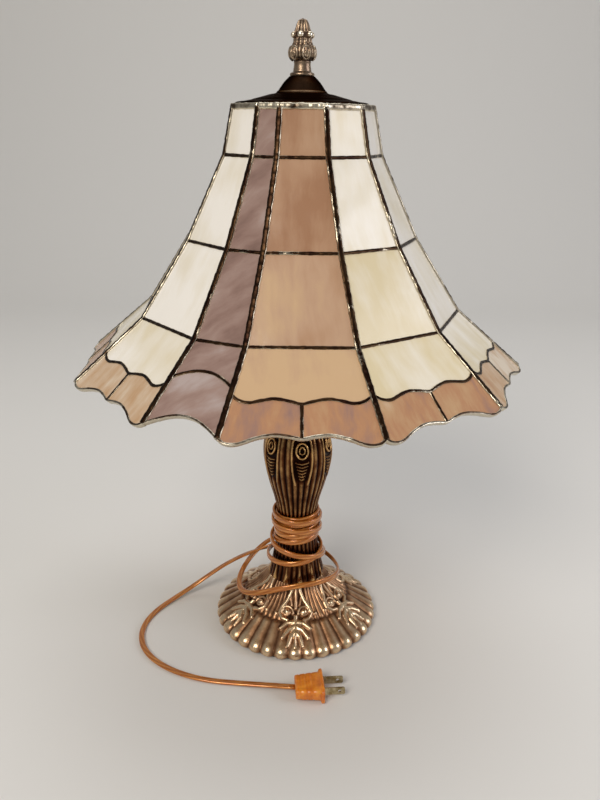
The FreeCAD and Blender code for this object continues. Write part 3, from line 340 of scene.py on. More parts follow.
def bumped(tree, height, strength, depth_mm):
    """A bump that lifts the surface where height is high, by about depth_mm."""
    return add(tree, "Bump", {"Height": height, "Strength": strength, "Distance": depth_mm * MM})


STRIPE_PITCH = 3.016 * MM
STRIPE_LEAN = 1.42
# A wave texture repeats after this length when its scale is one.
WAVE_PERIOD = TAU / 20
stripe_scale = WAVE_PERIOD / STRIPE_PITCH
amber_cord, tree, shader = begin("amber_pvc_over_copper")
place = add(tree, "UVMap", uv_map="pattern")
slanted = add(tree, "Mapping", {"Vector": place, "Rotation": (0, 0, STRIPE_LEAN),
                                "Scale": (stripe_scale, stripe_scale, 1)})
strands = add(tree, "TexWave", {"Vector": slanted, "Scale": 1.0, "Distortion": 1.2, "Detail": 2.0},
              wave_type="BANDS").outputs["Fac"]
tones = add(tree, "ValToRGB", {"Fac": strands},
            stops=[(0.0, "#B0691F"), (0.5, "#CE8331"), (1.0, "#EAA653")])
deeper = add(tree, "Mix", {"Factor": noise(tree, place, 29.41, 3.0), "A": tones, "B": "#A5571A"},
             data_type="RGBA")
settle(tree, shader, Base_Color=deeper, Metallic=0.45, Roughness=0.24, IOR=1.53, Coat_Weight=0.8,
       Coat_Roughness=0.06, Normal=bumped(tree, strands, 0.06, 0.2))

amber_plug, tree, shader = begin("amber_moulded_vinyl")
place = add(tree, "TexCoord").outputs["Object"]
tones = add(tree, "ValToRGB", {"Fac": noise(tree, place, 11.11, 3.0, Roughness=0.6)},
            stops=[(0.3, "#B45A12"), (0.52, "#D67C1E"), (0.72, "#F0A63C")])
settle(tree, shader, Base_Color=tones, Roughness=0.3, IOR=1.53, Subsurface_Weight=0.35,
       Subsurface_Scale=0.006, Subsurface_Radius=(1.0, 0.45, 0.12), Coat_Weight=0.25, Coat_Roughness=0.15,
       Normal=bumped(tree, noise(tree, place, 1.111, 2.0), 0.15, 0.2))

# %% [markdown]
# ## Sweeping the flat section
# At each point of the line we need three directions: along the cord, across its width, and out of
# its flat side. Out is a blend of away-from-the-stem near the axis and straight up further away, made
# square to the line. The section is two touching circles, drawn as one outline with a waist.

# %% The cord's skin
SECTION_POINTS = 16
WAIST = 0.55
ROUND_STEM, ON_TABLE = 30 * MM, 65 * MM
CORD_ROUND = 13 * MM
along = unit(np.gradient(cord_line, axis=0))
from_axis = np.linalg.norm(cord_line[:, :2], axis=1, keepdims=True)
outward = np.c_[cord_line[:, :2] / from_axis, np.zeros(len(cord_line))]
share = fade(from_axis, ROUND_STEM, ON_TABLE)
facing = outward * (1 - share) + np.array([0.0, 0.0, 1.0]) * share
facing = unit(facing - along * (facing * along).sum(1, keepdims=True))
across = np.cross(along, facing)
# Two circles side by side: half the width is a circle's diameter, and the waist a bit over half as thick.
a = round_angles(SECTION_POINTS)
section_across = np.cos(a) * CORD_WIDE / 2
lobe = np.sqrt(np.clip(1 - (np.abs(section_across) / (CORD_WIDE / 4) - 1) ** 2, 0, 1))
section_out = np.sign(np.sin(a)) * CORD_THICK / 2 * np.maximum(lobe, WAIST * np.abs(np.sin(a)))
skin = (cord_line[:, None] + across[:, None] * section_across[:, None]
        + facing[:, None] * section_out[:, None])
distance = np.concatenate([[0], np.cumsum(steps)])
cord_uv = np.stack(np.broadcast_arrays(distance[:, None], a / TAU * CORD_ROUND), axis=-1)
cord = piece("twin_cord", skin, tube_faces(len(cord_line), SECTION_POINTS), amber_cord,
             "base", ("cord_lead_in", "cord_winding", "cord_lead_out"), "cord", uv=cord_uv)
print("cord skin", len(cord.data.polygons), "faces")

# %% [markdown]
# ## The shade's facets
# Each of the twelve panels is a fold of four flat facets between two ribs, so a facet needs only its
# two rib corners and its angle. A place on it is written as millimetres across and down the slope,
# and how far it lifts off the glass. The fourth facet carries the pane and the border below it, and
# the seam between them and the shade's edge are scalloped lines across it.

# %% Ribs, panels and scallops
RIB = [(54.1, 446.4), (61, 413.3), (90.5, 352.5), (127.5, 296.3), (179.8, 252.3)]
FIRST_RIB_ANGLE = -34
WIDE, NARROW = 34, 18
THIRD = ["purple", "tan", "cream", "cream"]
BORDER_SHARE = 0.531
SEAM_WIDE = [(0, 7.0), (0.16, 5.0), (0.38, 3.2), (0.56, 4.6), (0.72, 6.2), (0.88, 4.2), (1, 0)]
EDGE_WIDE = [(0, -0.3), (0.16, -2.0), (0.34, -2.9), (0.55, -0.6), (0.78, 3.8), (0.92, 2.9), (1, 0)]
SEAM_NARROW = [(0, -13.0), (0.35, -12.0), (0.7, -8.8), (1, -4.5)]
EDGE_NARROW = [(0, -10.5), (0.35, -9.2), (0.7, -5.0), (1, 0)]
GLASS_THICK = 3.0


class Facet:
    """A flat facet between two rib corners. at() is the point s across, t down and lift outwards."""

    def __init__(self, middle, width, row, kind):
        half, turn = math.radians(width / 2), math.radians(middle)
        outward = np.array([math.sin(turn), -math.cos(turn), 0])
        (top_radius, top_height), (low_radius, low_height) = RIB[row], RIB[row + 1]
        self.across = np.array([math.cos(turn), math.sin(turn), 0])
        self.top = outward * top_radius * math.cos(half) + np.array([0, 0, top_height])
        low = outward * low_radius * math.cos(half) + np.array([0, 0, low_height])
        self.high = float(np.linalg.norm(low - self.top))
        self.down = (low - self.top) / self.high
        self.normal = np.cross(self.down, self.across)
        self.half_top = top_radius * math.sin(half)
        self.lean = (low_radius - top_radius) * math.sin(half) / self.high
        self.seam, self.edge = (SEAM_NARROW, EDGE_NARROW) if kind == "purple" else (SEAM_WIDE, EDGE_WIDE)

    def reach(self, t):
        """Half the facet's width, this far down."""
        return self.half_top + self.lean * t

    def at(self, s, t, lift):
        s, t, lift = (part[..., None] for part in np.broadcast_arrays(s, t, lift))
        return (self.top + s * self.across + t * self.down + lift * self.normal) * MM

    def scallop(self, shape, base, u):
        """How far down a scalloped line lies at the share u of the way across, from -1 to 1."""
        mirrored = [(-k, drop) for k, drop in shape[:0:-1]] + shape
        return base + smooth_line(u, *zip(*mirrored))


panels = []
angle = FIRST_RIB_ANGLE
for kind in THIRD * 3:
    width = NARROW if kind == "purple" else WIDE
    panels.append((kind, angle, [Facet(angle + width / 2, width, row, kind) for row in range(4)]))
    angle += width
print("ribs at", [angle for kind, angle, facets in panels])

# %% [markdown]
# ## Opalescent glass
# The panes are machine-rolled opalescent art glass: milky glass with a second colour stirred in, so
# each has soft streaks in the direction the sheet was rolled, and a glossy face with a faint orange
# peel. The milk stops light from passing straight through, so the glass is drawn opaque. A noise
# stretched along one direction of the pane's own pattern map makes the streaks, a wavier one bends
# them, and each pane's tint number shifts its place on the colour ramp, because no two panes are cut
# from the same spot of the sheet. On the front panels the tint numbers also carry painted light: the
# left cream panel lighter and the right one darker, and the tan panel's lower rows lighter where they
# face up to the lamp.

# %% Glass materials


BEND_BY = 12 * MM


def opal_glass(name, tones, streak_mm, stretch, contrast):
    """Rolled opalescent glass: streak_mm is a streak's width and stretch how many times longer it
    is."""
    material, tree, shader = begin(name)
    place = add(tree, "UVMap", uv_map="pattern")
    waves = noise(tree, place, 35.71, 2.0).outputs["Color"]
    bent = add(tree, "VectorMath", {0: waves, 1: (BEND_BY, BEND_BY, BEND_BY)}, operation="MULTIPLY")
    moved = add(tree, "VectorMath", {0: place, 1: bent}, operation="ADD")
    scale = 1 / (streak_mm * MM)
    drawn = add(tree, "Mapping", {"Vector": moved, "Scale": (scale, scale / stretch, 1)})
    streaks = add(tree, "TexNoise", {"Vector": drawn, "Scale": 1.0, "Detail": 4.0, "Roughness": 0.58})
    mixed = add(tree, "Math", {0: streaks, 1: contrast, 2: noise(tree, place, 62.5, 3.0)},
                operation="MULTIPLY_ADD")
    tint = add(tree, "Attribute", attribute_name="tint").outputs["Fac"]
    # The two noises together come to about half the contrast plus a half, so that is taken off again.
    shifted = add(tree, "Math", {0: mixed, 1: tint}, operation="ADD")
    level = add(tree, "Math", {0: shifted, 1: contrast / 2 + 0.5}, operation="SUBTRACT")
    peel = noise(tree, add(tree, "TexCoord").outputs["Object"], 6.25, 2.0)
    settle(tree, shader, Base_Color=add(tree, "ValToRGB", {"Fac": level}, stops=tones), Roughness=0.2,
           IOR=1.5, Normal=bumped(tree, peel, 0.12, 0.6))
    return material


glass = {
    # purple-brown with grey wisps
    "purple": opal_glass("opal_glass_purple", [(0.2, "#71584F"), (0.42, "#8C7167"), (0.58, "#9A8177"),
                                               (0.8, "#AD9D98")], 13, 3.0, 0.9),
    # an even warm tan, faintly streaked with pink
    "tan": opal_glass("opal_glass_tan", [(0.2, "#9C7355"), (0.45, "#AF8A6C"), (0.6, "#B8967A"),
                                         (0.85, "#C5A580")], 10, 5.0, 0.6),
    # milk white with straw streaks
    "cream": opal_glass("opal_glass_cream", [(0.15, "#D5C6A2"), (0.4, "#E2D9C6"), (0.7, "#EFEAE2")],
                        14, 5.0, 0.6),
    # the border: tan with orange, brown and mauve streaks down the slope
    "border": opal_glass("opal_glass_streaky", [(0.1, "#8E7068"), (0.35, "#AE815F"), (0.55, "#B8946F"),
                                                (0.75, "#C6AC90"), (0.95, "#D6C7B2")], 9, 3.5, 0.8),
}

# %% [markdown]
# ## Cutting the panes
# A pane is a slab three millimetres thick. Its front is a grid: one parameter runs across between
# the ribs, the other down between its upper and lower line, so the scallops come out by themselves.
# The back is the same grid further in, and quads round the rim close the slab. The front also gets a
# ripple of a tenth of a millimetre, which is what makes reflections wander on real rolled glass.

# %% Panes
PANE_INSET = 0.7
BACK_INSET = 1.0
MIDDLE_GAP = 0.7
PANE_CELL = 3.4
RIPPLE_HIGH = 0.1
RIPPLE_LONG = (2.6, 3.4, 4.7, 6.1, 9.0)
STREAK_SWAY, TINT_SWAY = 6, 0.05
RIM_CORNER = math.radians(45)
STREAK_TURN = {"purple": -48, "tan": 4, "cream": 3, "border": 2}
# How each panel's panes lie on the colour ramp: a number a row, and the last for the border.
# Besides the sheets' own differences, some numbers hold painted light: panel 11, at the front left, is
# set lighter than the other cream panels and panel 2, at the front right, darker, and the tan panels'
# lower rows lighter where they face up to the lamp at the upper left.
TINTS = {0: (0.5, 0.38, 0.5, 0.45, 0.55), 1: (0.36, 0.32, 0.56, 0.84, 0.34),
         2: (0.34, 0.3, 0.16, 0.28, 0.44), 3: (0.6, 0.55, 0.5, 0.5, 0.72),
         11: (0.7, 0.6, 0.66, 0.56, 0.66)}


def slab(front, back):
    """A closed slab between two grids of the same size: both faces, and quads round the rim."""
    rows, columns = front.shape[:2]
    count = rows * columns
    numbers = np.arange(count).reshape(rows, columns)
    rim = np.concatenate([numbers[0, :-1], numbers[:-1, -1], numbers[-1, :0:-1], numbers[:0:-1, 0]])
    following = np.roll(rim, -1)
    face = grid_faces(rows, columns)
    sides = np.stack([rim, following, following + count, rim + count], axis=1)[:, ::-1]
    return np.concatenate([front.reshape(-1, 3), back.reshape(-1, 3)]), [face[:, ::-1], face + count, sides]


def pane(facet, left, right, upper, lower, turn, random):
    """One slab of glass on a facet, between the shares left and right of the way across and the
    lines upper and lower, which give the way down at a share. Also its pattern map: the same place
    in metres, turned, at a random spot of the sheet."""
    wide = (right - left) * facet.reach(facet.high / 2)
    columns = max(4, int(wide / PANE_CELL)) + 1
    u = np.linspace(left, right, columns)
    rows = max(4, int(np.mean(lower(u) - upper(u)) / PANE_CELL)) + 1
    v = np.linspace(0, 1, rows)[:, None]
    t = upper(u) * (1 - v) + lower(u) * v
    s = u * (facet.reach(t) - PANE_INSET)
    bumps = sum(np.sin((s * math.cos(a) + t * math.sin(a)) / length + phase)
                for a, length, phase in zip(random.uniform(0, TAU, 5), RIPPLE_LONG,
                                            random.uniform(0, TAU, 5)))
    front = facet.at(s, t, RIPPLE_HIGH * bumps / 3)
    back = facet.at(u * (facet.reach(t) - PANE_INSET - BACK_INSET), t, -GLASS_THICK)
    turn = math.radians(turn + random.uniform(-STREAK_SWAY, STREAK_SWAY))
    pattern = np.stack([s * math.cos(turn) - t * math.sin(turn), s * math.sin(turn) + t * math.cos(turn)],
                       axis=-1) * MM + random.uniform(-1, 1, 2)
    return slab(front, back), np.concatenate([pattern.reshape(-1, 2)] * 2)


def flat(level):
    """A straight line across a facet, this far down."""
    return lambda u: np.full_like(u, level)


random = np.random.default_rng(12)
for number, (kind, rib_angle, facets) in enumerate(panels):
    last = facets[3]
    seam_at = last.high * BORDER_SHARE
    cuts = [(f, -1, 1, flat(PANE_INSET), flat(f.high - PANE_INSET), kind) for f in facets[:3]]
    cuts.append((last, -1, 1, flat(PANE_INSET),
                 lambda u: last.scallop(last.seam, seam_at - PANE_INSET, u), kind))
    # The border is one pane on a narrow panel, and two with a seam between them on a wide one.
    gap = MIDDLE_GAP / last.reach(last.high)
    for left, right in [(-1, 1)] if kind == "purple" else [(-1, -gap), (gap, 1)]:
        cuts.append((last, left, right, lambda u: last.scallop(last.seam, seam_at + PANE_INSET, u),
                     lambda u: last.scallop(last.edge, last.high - PANE_INSET, u), "border"))
    tints = TINTS.get(number, TINTS.get(number % 4))
    slabs, uvs, tint, border = [], [], [], []
    for cut, (facet, left, right, upper, lower, sort) in enumerate(cuts):
        sheet = "purple" if kind == "purple" else sort
        made, pattern = pane(facet, left, right, upper, lower, STREAK_TURN[sheet], random)
        slabs.append(made)
        uvs.append(pattern)
        tint.append(np.full(len(pattern), tints[min(cut, 4)] + random.uniform(-TINT_SWAY, TINT_SWAY)))
        border += [sheet == "border"] * sum(len(block) for block in made[1])
    name = "%02d" % (number + 1)
    panes = piece("panes_" + name, *join(slabs), glass[kind], "shade", ("glass_panel_" + name,),
                  kind + "_glass", uv=np.concatenate(uvs), values={"tint": np.concatenate(tint)},
                  second=glass["border"], second_faces=border)
    # The cut rims of the panes are square, so their faces aren't smoothed into the front's.
    panes.data.set_sharp_from_angle(angle=RIM_CORNER)
    print("panes_" + name, len(panes.data.polygons), "faces")

# %% [markdown]
# ## Solder over copper foil
# Each pane's rim is wrapped in copper foil and the panes are soldered together along it. The solder
# stands up as a rounded bead, wider and higher on the ribs, and it is lumpy where the iron stopped.
# A chemical patina was brushed on and turned it dark brown, rubbed through to bare solder in patches,
# and the sides of the beads are painted bright as the highlights that run along them. A bead is an oval
# carried along its seam: the seam gives its line, the facet its outward direction, and two uneven lines
# swell it.

# %% Solder beads
SECTION = 14
BEAD_STEP = 1.1
BEAD_POWER = 0.6
WIDE_SWAY, HIGH_SWAY = 0.13, 0.25
DEEP = GLASS_THICK + 0.8


def resample(line, step):
    """Points every step or so along a line of points, with their distances along it."""
    gone = np.concatenate([[0], np.cumsum(np.linalg.norm(np.diff(line, axis=0), axis=1))])
    at = np.linspace(0, gone[-1], max(4, int(gone[-1] / step) + 1))
    return np.stack([np.interp(at, gone, line[:, k]) for k in range(3)], axis=1), at


def bead(line, out, half, proud, seed):
    """A closed bead: round its line, a point at the angle a stands half * cos(a) to the side and, out
    of the glass, from -DEEP to proud by a power of sin(a). All in millimetres."""
    line, gone = resample(line, BEAD_STEP)
    out = out(gone / gone[-1]) if callable(out) else np.broadcast_to(out, line.shape)
    side = unit(np.cross(unit(np.gradient(line, axis=0)), out))
    a = round_angles(SECTION)
    wide = half * (1 + WIDE_SWAY * ripple(gone, seed, 11, waves=4))[:, None] * np.cos(a)
    swell = signed_power(np.sin(a), BEAD_POWER)
    crest = proud * (1 + HIGH_SWAY * ripple(gone, seed + 1, 8, waves=4))[:, None]
    tall = np.where(swell > 0, crest, DEEP) * swell
    points = line[:, None] + side[:, None] * wide[..., None] + out[:, None] * tall[..., None]
    return points.reshape(-1, 3) * MM, tube_faces(len(line), SECTION)


def beads(name, node, runs, material):
    """All the beads of one kind of seam, as one piece in place of a CAD node."""
    points, faces = join([bead(*run, seed=seed * 7 + len(name)) for seed, run in enumerate(runs)])
    crest = np.tile(signed_power(np.sin(round_angles(SECTION)), BEAD_POWER), len(points) // SECTION)
    made = piece(name, points, faces, material, "shade", (node,), "solder", values={"relief": crest})
    print(name, len(made.data.polygons), "faces")


def roughness(tree, grain, low, high):
    """Roughness between two values, from a noise."""
    return add(tree, "MapRange", {"Value": grain, "From Min": 0.3, "From Max": 0.7, "To Min": low,
                                  "To Max": high})


def patina_solder(name, dark, warm, rubbed_and_glint_tone, wear_and_glint_from, wear_and_glint_to):
    """Tin-lead solder under a brown copper patina, rubbed to bare solder in patches where the noise says,
    and painted bright along the sides of the bead as a highlight: the higher the place on the bead, the
    more patina."""
    material, tree, shader = begin(name)
    place = add(tree, "TexCoord").outputs["Object"]
    base = add(tree, "ValToRGB", {"Fac": noise(tree, place, 14.29, 3.0)}, stops=[(0.35, dark), (0.7, warm)])
    patches = noise(tree, place, 22.22, 5.0, Roughness=0.7)
    crest = add(tree, "Attribute", attribute_name="relief").outputs["Fac"]
    # The lower on the bead's side, the higher this level: a painted highlight along the bead's sides, with
    # the noise's rubbed patches added.
    patina_gap_and_painted_glint = add(tree, "Math", {0: crest, 1: -0.4, 2: patches}, operation="MULTIPLY_ADD")
    worn = add(tree, "MapRange", {"Value": patina_gap_and_painted_glint, "From Min": wear_and_glint_from, "From Max": wear_and_glint_to})
    colour = add(tree, "Mix", {"Factor": worn, "A": base, "B": rubbed_and_glint_tone}, data_type="RGBA")
    settle(tree, shader, Base_Color=colour, Metallic=1.0, Roughness=roughness(tree, patches, 0.42, 0.22),
           Normal=bumped(tree, noise(tree, place, 5.556, 2.0), 0.18, 0.8))
    return material


# The last tone of each is bare solder: rubbed patches from the noise, and a painted highlight along the
# sides of every bead.
brown_solder = patina_solder("brown_patina_solder", "#24150F", "#42301F", "#C9BDA6", 0.22, 0.36)
bright_solder = patina_solder("rubbed_solder", "#3E2E22", "#7A6A55", "#D8CDB6", 0.05, 0.25)
edge_solder = patina_solder("edge_solder", "#35251B", "#5A4636", "#CFC6B2", 0.1, 0.3)

# Half the width of each kind of bead, and how far it stands proud of the glass.
RIB_BEAD = (2.15, 1.2)
ROW_BEAD = (1.35, 0.8)
LINE_BEAD = (1.25, 0.8)
EDGE_BEAD = (0.9, 0.5)
TOP_BEAD = (2.2, 1.3)
EASED_OVER = 13


def rib_line(turn):
    """A rib's line, its corners eased over a few millimetres, and its outward directions."""
    radius, height = zip(*RIB)
    outward = np.array([math.sin(turn), -math.cos(turn), 0])
    corners = np.outer(radius, outward) + np.outer(height, [0, 0, 1.0])
    fine, gone = resample(corners, 0.5)
    window = np.ones(EASED_OVER) / EASED_OVER
    padded = np.pad(fine, ((EASED_OVER // 2,) * 2, (0, 0)), mode="reflect", reflect_type="odd")
    eased = np.stack([np.convolve(padded[:, k], window, "valid") for k in range(3)], axis=1)
    square = unit(np.cross(np.gradient(eased, axis=0), [math.cos(turn), math.sin(turn), 0]))
    share = gone / gone[-1]
    return eased, lambda at: np.stack([np.interp(at, share, square[:, k]) for k in range(3)], axis=1)


def seam_line(facet, shape, base):
    """A scalloped seam across a facet, in millimetres."""
    u = np.linspace(-1, 1, 61)
    t = facet.scallop(shape, base, u)
    return facet.at(u * facet.reach(t), t, 0.0) / MM


ribs, rows, top_runs, seams, edges, middles = [], [[], [], []], [], [], [], []
for kind, rib_angle, facets in panels:
    ribs.append((*rib_line(math.radians(rib_angle)), *RIB_BEAD))
    tops = [facet.at(np.array([-1, 1]) * facet.half_top, 0.0, 0.0) / MM for facet in facets]
    top_runs.append((tops[0], facets[0].normal, *TOP_BEAD))
    for row in range(3):
        normal = unit(facets[row].normal + facets[row + 1].normal)
        rows[row].append((tops[row + 1], normal, *ROW_BEAD))
    last = facets[3]
    seam_at = last.high * BORDER_SHARE
    seams.append((seam_line(last, last.seam, seam_at), last.normal, *LINE_BEAD))
    edges.append((seam_line(last, last.edge, last.high), last.normal, *EDGE_BEAD))
    if kind != "purple":
        down = np.array([seam_at + last.seam[0][1], last.high + last.edge[0][1]])
        middles.append((last.at(0.0, down, 0.0) / MM, last.normal, *LINE_BEAD))

beads("solder_ribs", "rib_solder", ribs, brown_solder)
for label, runs in zip(("upper", "middle", "lower"), rows):
    beads("solder_row_" + label, "row_solder_" + label, runs, brown_solder)
beads("solder_top", "top_solder", top_runs, bright_solder)
beads("solder_scallops", "scallop_solder", seams, brown_solder)
beads("solder_edge", "edge_solder", edges, edge_solder)
beads("solder_border", "border_solder", middles, brown_solder)

# %% [markdown]
# ## Cast relief
# The foot, column, vase and finial are zinc castings, plated with brass and then darkened. The
# moulds were carved with gadroons, reeds, scrolls and leaves. Here each is a turned surface pushed
# in and out along its own normal. The ornament repeats six times round and is the same both ways
# from each panel's middle, so its height is worked out on one sixth, from the millimetres across and
# along, and repeated. The height is also kept as a number on each point: the finish uses it, because
# polishing brightens what stands proud and the dark stays in the hollows.

# %% Relief tools
SIXTH = math.radians(60)
INNER_ROWS = 14


def ridge(x, y, path, half, high, ends=1.0):
    """The height of a half-round ridge along a path of (x, y) corners: high on the path, and falling
    as a circle falls to nothing half away from it. ends narrows it towards its far end."""
    path = np.array([(a, b, 0) for a, b in path], float)
    line, gone = resample(path, 0.5)
    away = np.hypot(x[..., None] - line[:, 0], y[..., None] - line[:, 1])
    share = away / (half * (1 + (ends - 1) * gone / gone[-1]))
    return high * np.sqrt(np.clip(1 - share.min(axis=-1) ** 2, 0, 1))


def knob(x, y, middle, half, high):
    """The height of a round knob."""
    share = ((x - middle[0]) ** 2 + (y - middle[1]) ** 2) / half ** 2
    return high * np.sqrt(np.clip(1 - share, 0, 1))


def scroll(middle, radius, start, turns, shrink=0.3):
    """The corners of a scroll: a spiral whose radius falls evenly to shrink of itself."""
    a = np.radians(start) + np.linspace(0, turns * TAU, 40)
    r = radius * np.linspace(1, shrink, 40)
    return list(zip(middle[0] + r * np.cos(a), middle[1] + r * np.sin(a)))


def oval(height, wide, tall, start=0.0, end=TAU, count=30):
    """The corners of an upright oval round (0, height), or of a part of one."""
    return [(wide * math.cos(a), height + tall * math.sin(a)) for a in np.linspace(start, end, count)]


def arches(turn, count, power):
    """Rounded ribs, count of them all the way round; a low power makes them fuller."""
    return np.abs(np.cos(turn * count / 2)) ** power


def turned_casting(name, node, outline, rows, columns, relief, material, body, slot, wall=None,
                   first=0.0):
    """A turned surface with relief. outline gives (radius, height) at a distance along it; the point
    at the turn a stands at that radius and height, pushed out along the outline's normal by the
    relief there. With a wall it is a closed hollow casting, otherwise it is solid. first turns it."""
    knots = np.array(outline, float)
    gone = np.concatenate([[0], np.cumsum(np.hypot(*np.diff(knots, axis=0).T))])
    along = np.linspace(0, gone[-1], rows)
    line = smooth_line(along, gone, knots)
    slope = np.gradient(line, axis=0)
    normal = np.stack([slope[:, 1], -slope[:, 0]], axis=1) / np.hypot(*slope.T)[:, None]
    turn = (np.arange(columns // 6) + 0.5) / (columns // 6) * SIXTH - SIXTH / 2
    x = np.abs(turn) * line[:, :1]
    high = np.tile(relief(turn + 0 * x, x, along[:, None] + 0 * x, line[:, 1:] + 0 * x), (1, 6))
    full = first + (np.arange(columns) + 0.5) / columns * TAU - SIXTH / 2

    def ring(profile):
        radius, height = profile[..., 0], profile[..., 1]
        return np.stack([radius * np.sin(full), -radius * np.cos(full), height + 0 * full], axis=-1)

    points = ring(line[:, None] + normal[:, None] * high[..., None])
    worn = (high - high.min()) / (high.max() - high.min())
    if wall is None:
        faces = tube_faces(rows, columns)
    else:
        picked = np.linspace(rows - 1, 0, INNER_ROWS).astype(int)
        inner = (line - normal * wall)[picked][:, None] + np.zeros((1, columns, 1))
        inner[0, :, 1], inner[-1, :, 1] = line[-1, 1], line[0, 1]
        points = np.concatenate([points, ring(inner)])
        worn = np.concatenate([worn, np.zeros(inner.shape[:2])])
        faces = [grid_faces(rows + len(picked), columns, wrap_rows=True, wrap_columns=True)]
    made = piece(name, points * MM, faces, material, body, (node,), slot, values={"relief": worn})
    print(name, len(made.data.polygons), "faces")
    return made


def plated_casting(name, tones, rough, blotch_mm, wear):
    """Antiqued plate: the relief picks a tone from dark hollow to rubbed crest, blotches of uneven
    darkening shift it, and the rubbed metal is smoother. wear moves the whole casting brighter."""
    material, tree, shader = begin(name)
    place = add(tree, "TexCoord").outputs["Object"]
    height = add(tree, "Attribute", attribute_name="relief").outputs["Fac"]
    blots = noise(tree, place, blotch_mm, 5.0, Roughness=0.62)
    level = add(tree, "Math", {0: blots, 1: 0.7, 2: height}, operation="MULTIPLY_ADD")
    level = add(tree, "Math", {0: level, 1: 0.35 - wear}, operation="SUBTRACT")
    dull = add(tree, "MapRange", {"Value": level, "To Min": rough[0], "To Max": rough[1]})
    settle(tree, shader, Base_Color=add(tree, "ValToRGB", {"Fac": level}, stops=tones), Metallic=1.0,
           Roughness=dull, Normal=bumped(tree, noise(tree, place, 1.111, 3.0), 0.35, 0.3))
    return material


# cast zinc, antique brass plate, rubbed to gold along the crests
foot_plate = plated_casting("antique_brass_plate", [(0.0, "#2A1B13"), (0.25, "#6B4A33"), (0.6, "#AD8462"),
                                                    (0.95, "#E6CBA6")], (0.48, 0.26), 9, 0.12)
# the stem came out redder and darker than the foot, bright only on its edges
stem_plate = plated_casting("red_bronze_plate", [(0.0, "#120705"), (0.35, "#2F150B"), (0.68, "#5F3921"),
                                                 (1.0, "#CFA56C")], (0.42, 0.2), 12, 0.08)
# the finial is the same plate with a grey cast
finial_plate = plated_casting("worn_finial_plate", [(0.0, "#2C2017"), (0.3, "#756050"), (0.6, "#AF9A80"),
                                                    (0.95, "#E6DAC4")], (0.42, 0.24), 5, 0.15)
# spun brass, dark bronze plate, streaked round by the spinning tool
cap_plate = plated_casting("dark_bronze_plate", [(0.0, "#1A110B"), (0.4, "#2E2017"), (0.75, "#463528"),
                                                 (1.0, "#75614C")], (0.42, 0.3), 14, 0.1)

# The dark plate has a waxy film, so it doesn't turn silver where it is seen at a low angle.
cap_plate.node_tree.nodes["Principled BSDF"].inputs["Specular Tint"].default_value = linear("#6E5A4A")

# %% [markdown]
# ## The foot
# Thirty-six gadroons run in from the scalloped rim. Above them six panels each carry a pair of
# scrolls round two knobs with a leaf hanging below, and fans of flutes fill between the panels up to
# the stem. Near the cord's bushing at the back the relief is left flat, as it was filed for the hole.

# %% Foot
FOOT = [(71.6, 1.5), (73.0, 3.4), (73.0, 6.0), (70.9, 9.2), (66.04, 12.85), (52.1, 21.8), (37.96, 31.6),
        (28.8, 40.15), (25, 46)]
FOOT_ROWS, FOOT_COLUMNS = 132, 576
GADROONS, FLUTES = 36, 60
# The bushing stands this far behind the axis, and the dome is plain near it and 0.9 mm lower.
BUSHING_BACK = 48.3
PLAIN_NEAR, RELIEF_FROM, FILED = 7.5 * MM, 13 * MM, 0.9 * MM


def foot_relief(turn, x, along, height):
    """Gadroons to 36 mm up the slope, flutes above 38 mm beside the panel, and the panel's scrolls,
    knobs and leaf; the highest of them counts at each place."""
    tip = 0.9 + 0.5 * np.exp(-((along - 7) / 4.5) ** 2)
    gadroons = 1.9 * tip * arches(turn, GADROONS, 0.75) * (1 - fade(along, 31, 38))
    beside = fade(np.abs(np.degrees(turn)), 14.5, 16.5)
    flutes = 1.3 * arches(turn, FLUTES, 0.6) * fade(along, 33, 39) * beside
    ridges = [
        ridge(x, along, [(2.4, 74), (3.8, 62), (7.5, 54), (12.5, 47), (14.4, 42), (12, 37.5), (7.5, 36.5)],
              1.9, 2.2),
        ridge(x, along, scroll((7.6, 44), 5.4, 200, -1.1, 0.45), 1.5, 1.9, 0.7),
        knob(x, along, (7.6, 44), 2.9, 2.5),
        ridge(x, along, [(0, 72), (0, 47)], 1.7, 1.6),
        ridge(x, along, [(5.4, 60), (4.2, 54), (3.4, 50)], 1.3, 1.3),
        knob(x, along, (18, 41), 2.2, 1.9),
        # the leaf: a midrib and lobes that splay to each side
        ridge(x, along, [(0, 40), (0, 12)], 2.1, 2.5, 0.5),
        ridge(x, along, [(0.8, 35), (7, 34), (13.5, 28)], 3.1, 2.3, 0.5),
        ridge(x, along, [(0.8, 31), (6, 28), (11.5, 20)], 3.1, 2.4, 0.5),
        ridge(x, along, [(0.8, 26), (4, 22), (6.6, 13)], 2.9, 2.4, 0.5),
    ]
    hollow = np.exp(-((x / 12) ** 2 + ((along - 27) / 11) ** 2) ** 2)
    return np.maximum.reduce([gadroons * (1 - 0.85 * hollow), flutes] + ridges) - 1.3


foot = turned_casting("cast_foot", "base_foot", FOOT, FOOT_ROWS, FOOT_COLUMNS, foot_relief, foot_plate,
                      "base", "antique_brass", wall=3.0)

# The relief dies out round the bushing, whose flange sits on the plain dome.
dome = np.empty(len(foot.data.vertices) * 3, np.float32)
foot.data.vertices.foreach_get("co", dome)
dome = dome.reshape(-1, 3)
near = 1 - fade(np.hypot(dome[:, 0], dome[:, 1] - BUSHING_BACK * MM), PLAIN_NEAR, RELIEF_FROM)
knots = np.array(FOOT[::-1], float) * MM
plain = np.interp(np.hypot(dome[:, 0], dome[:, 1]), knots[:, 0], knots[:, 1])
outside = np.arange(len(dome)) < FOOT_ROWS * FOOT_COLUMNS
dome[:, 2] += np.where(outside, (plain - FILED - dome[:, 2]) * near, 0)
foot.data.vertices.foreach_set("co", dome.ravel())
foot.data.update()

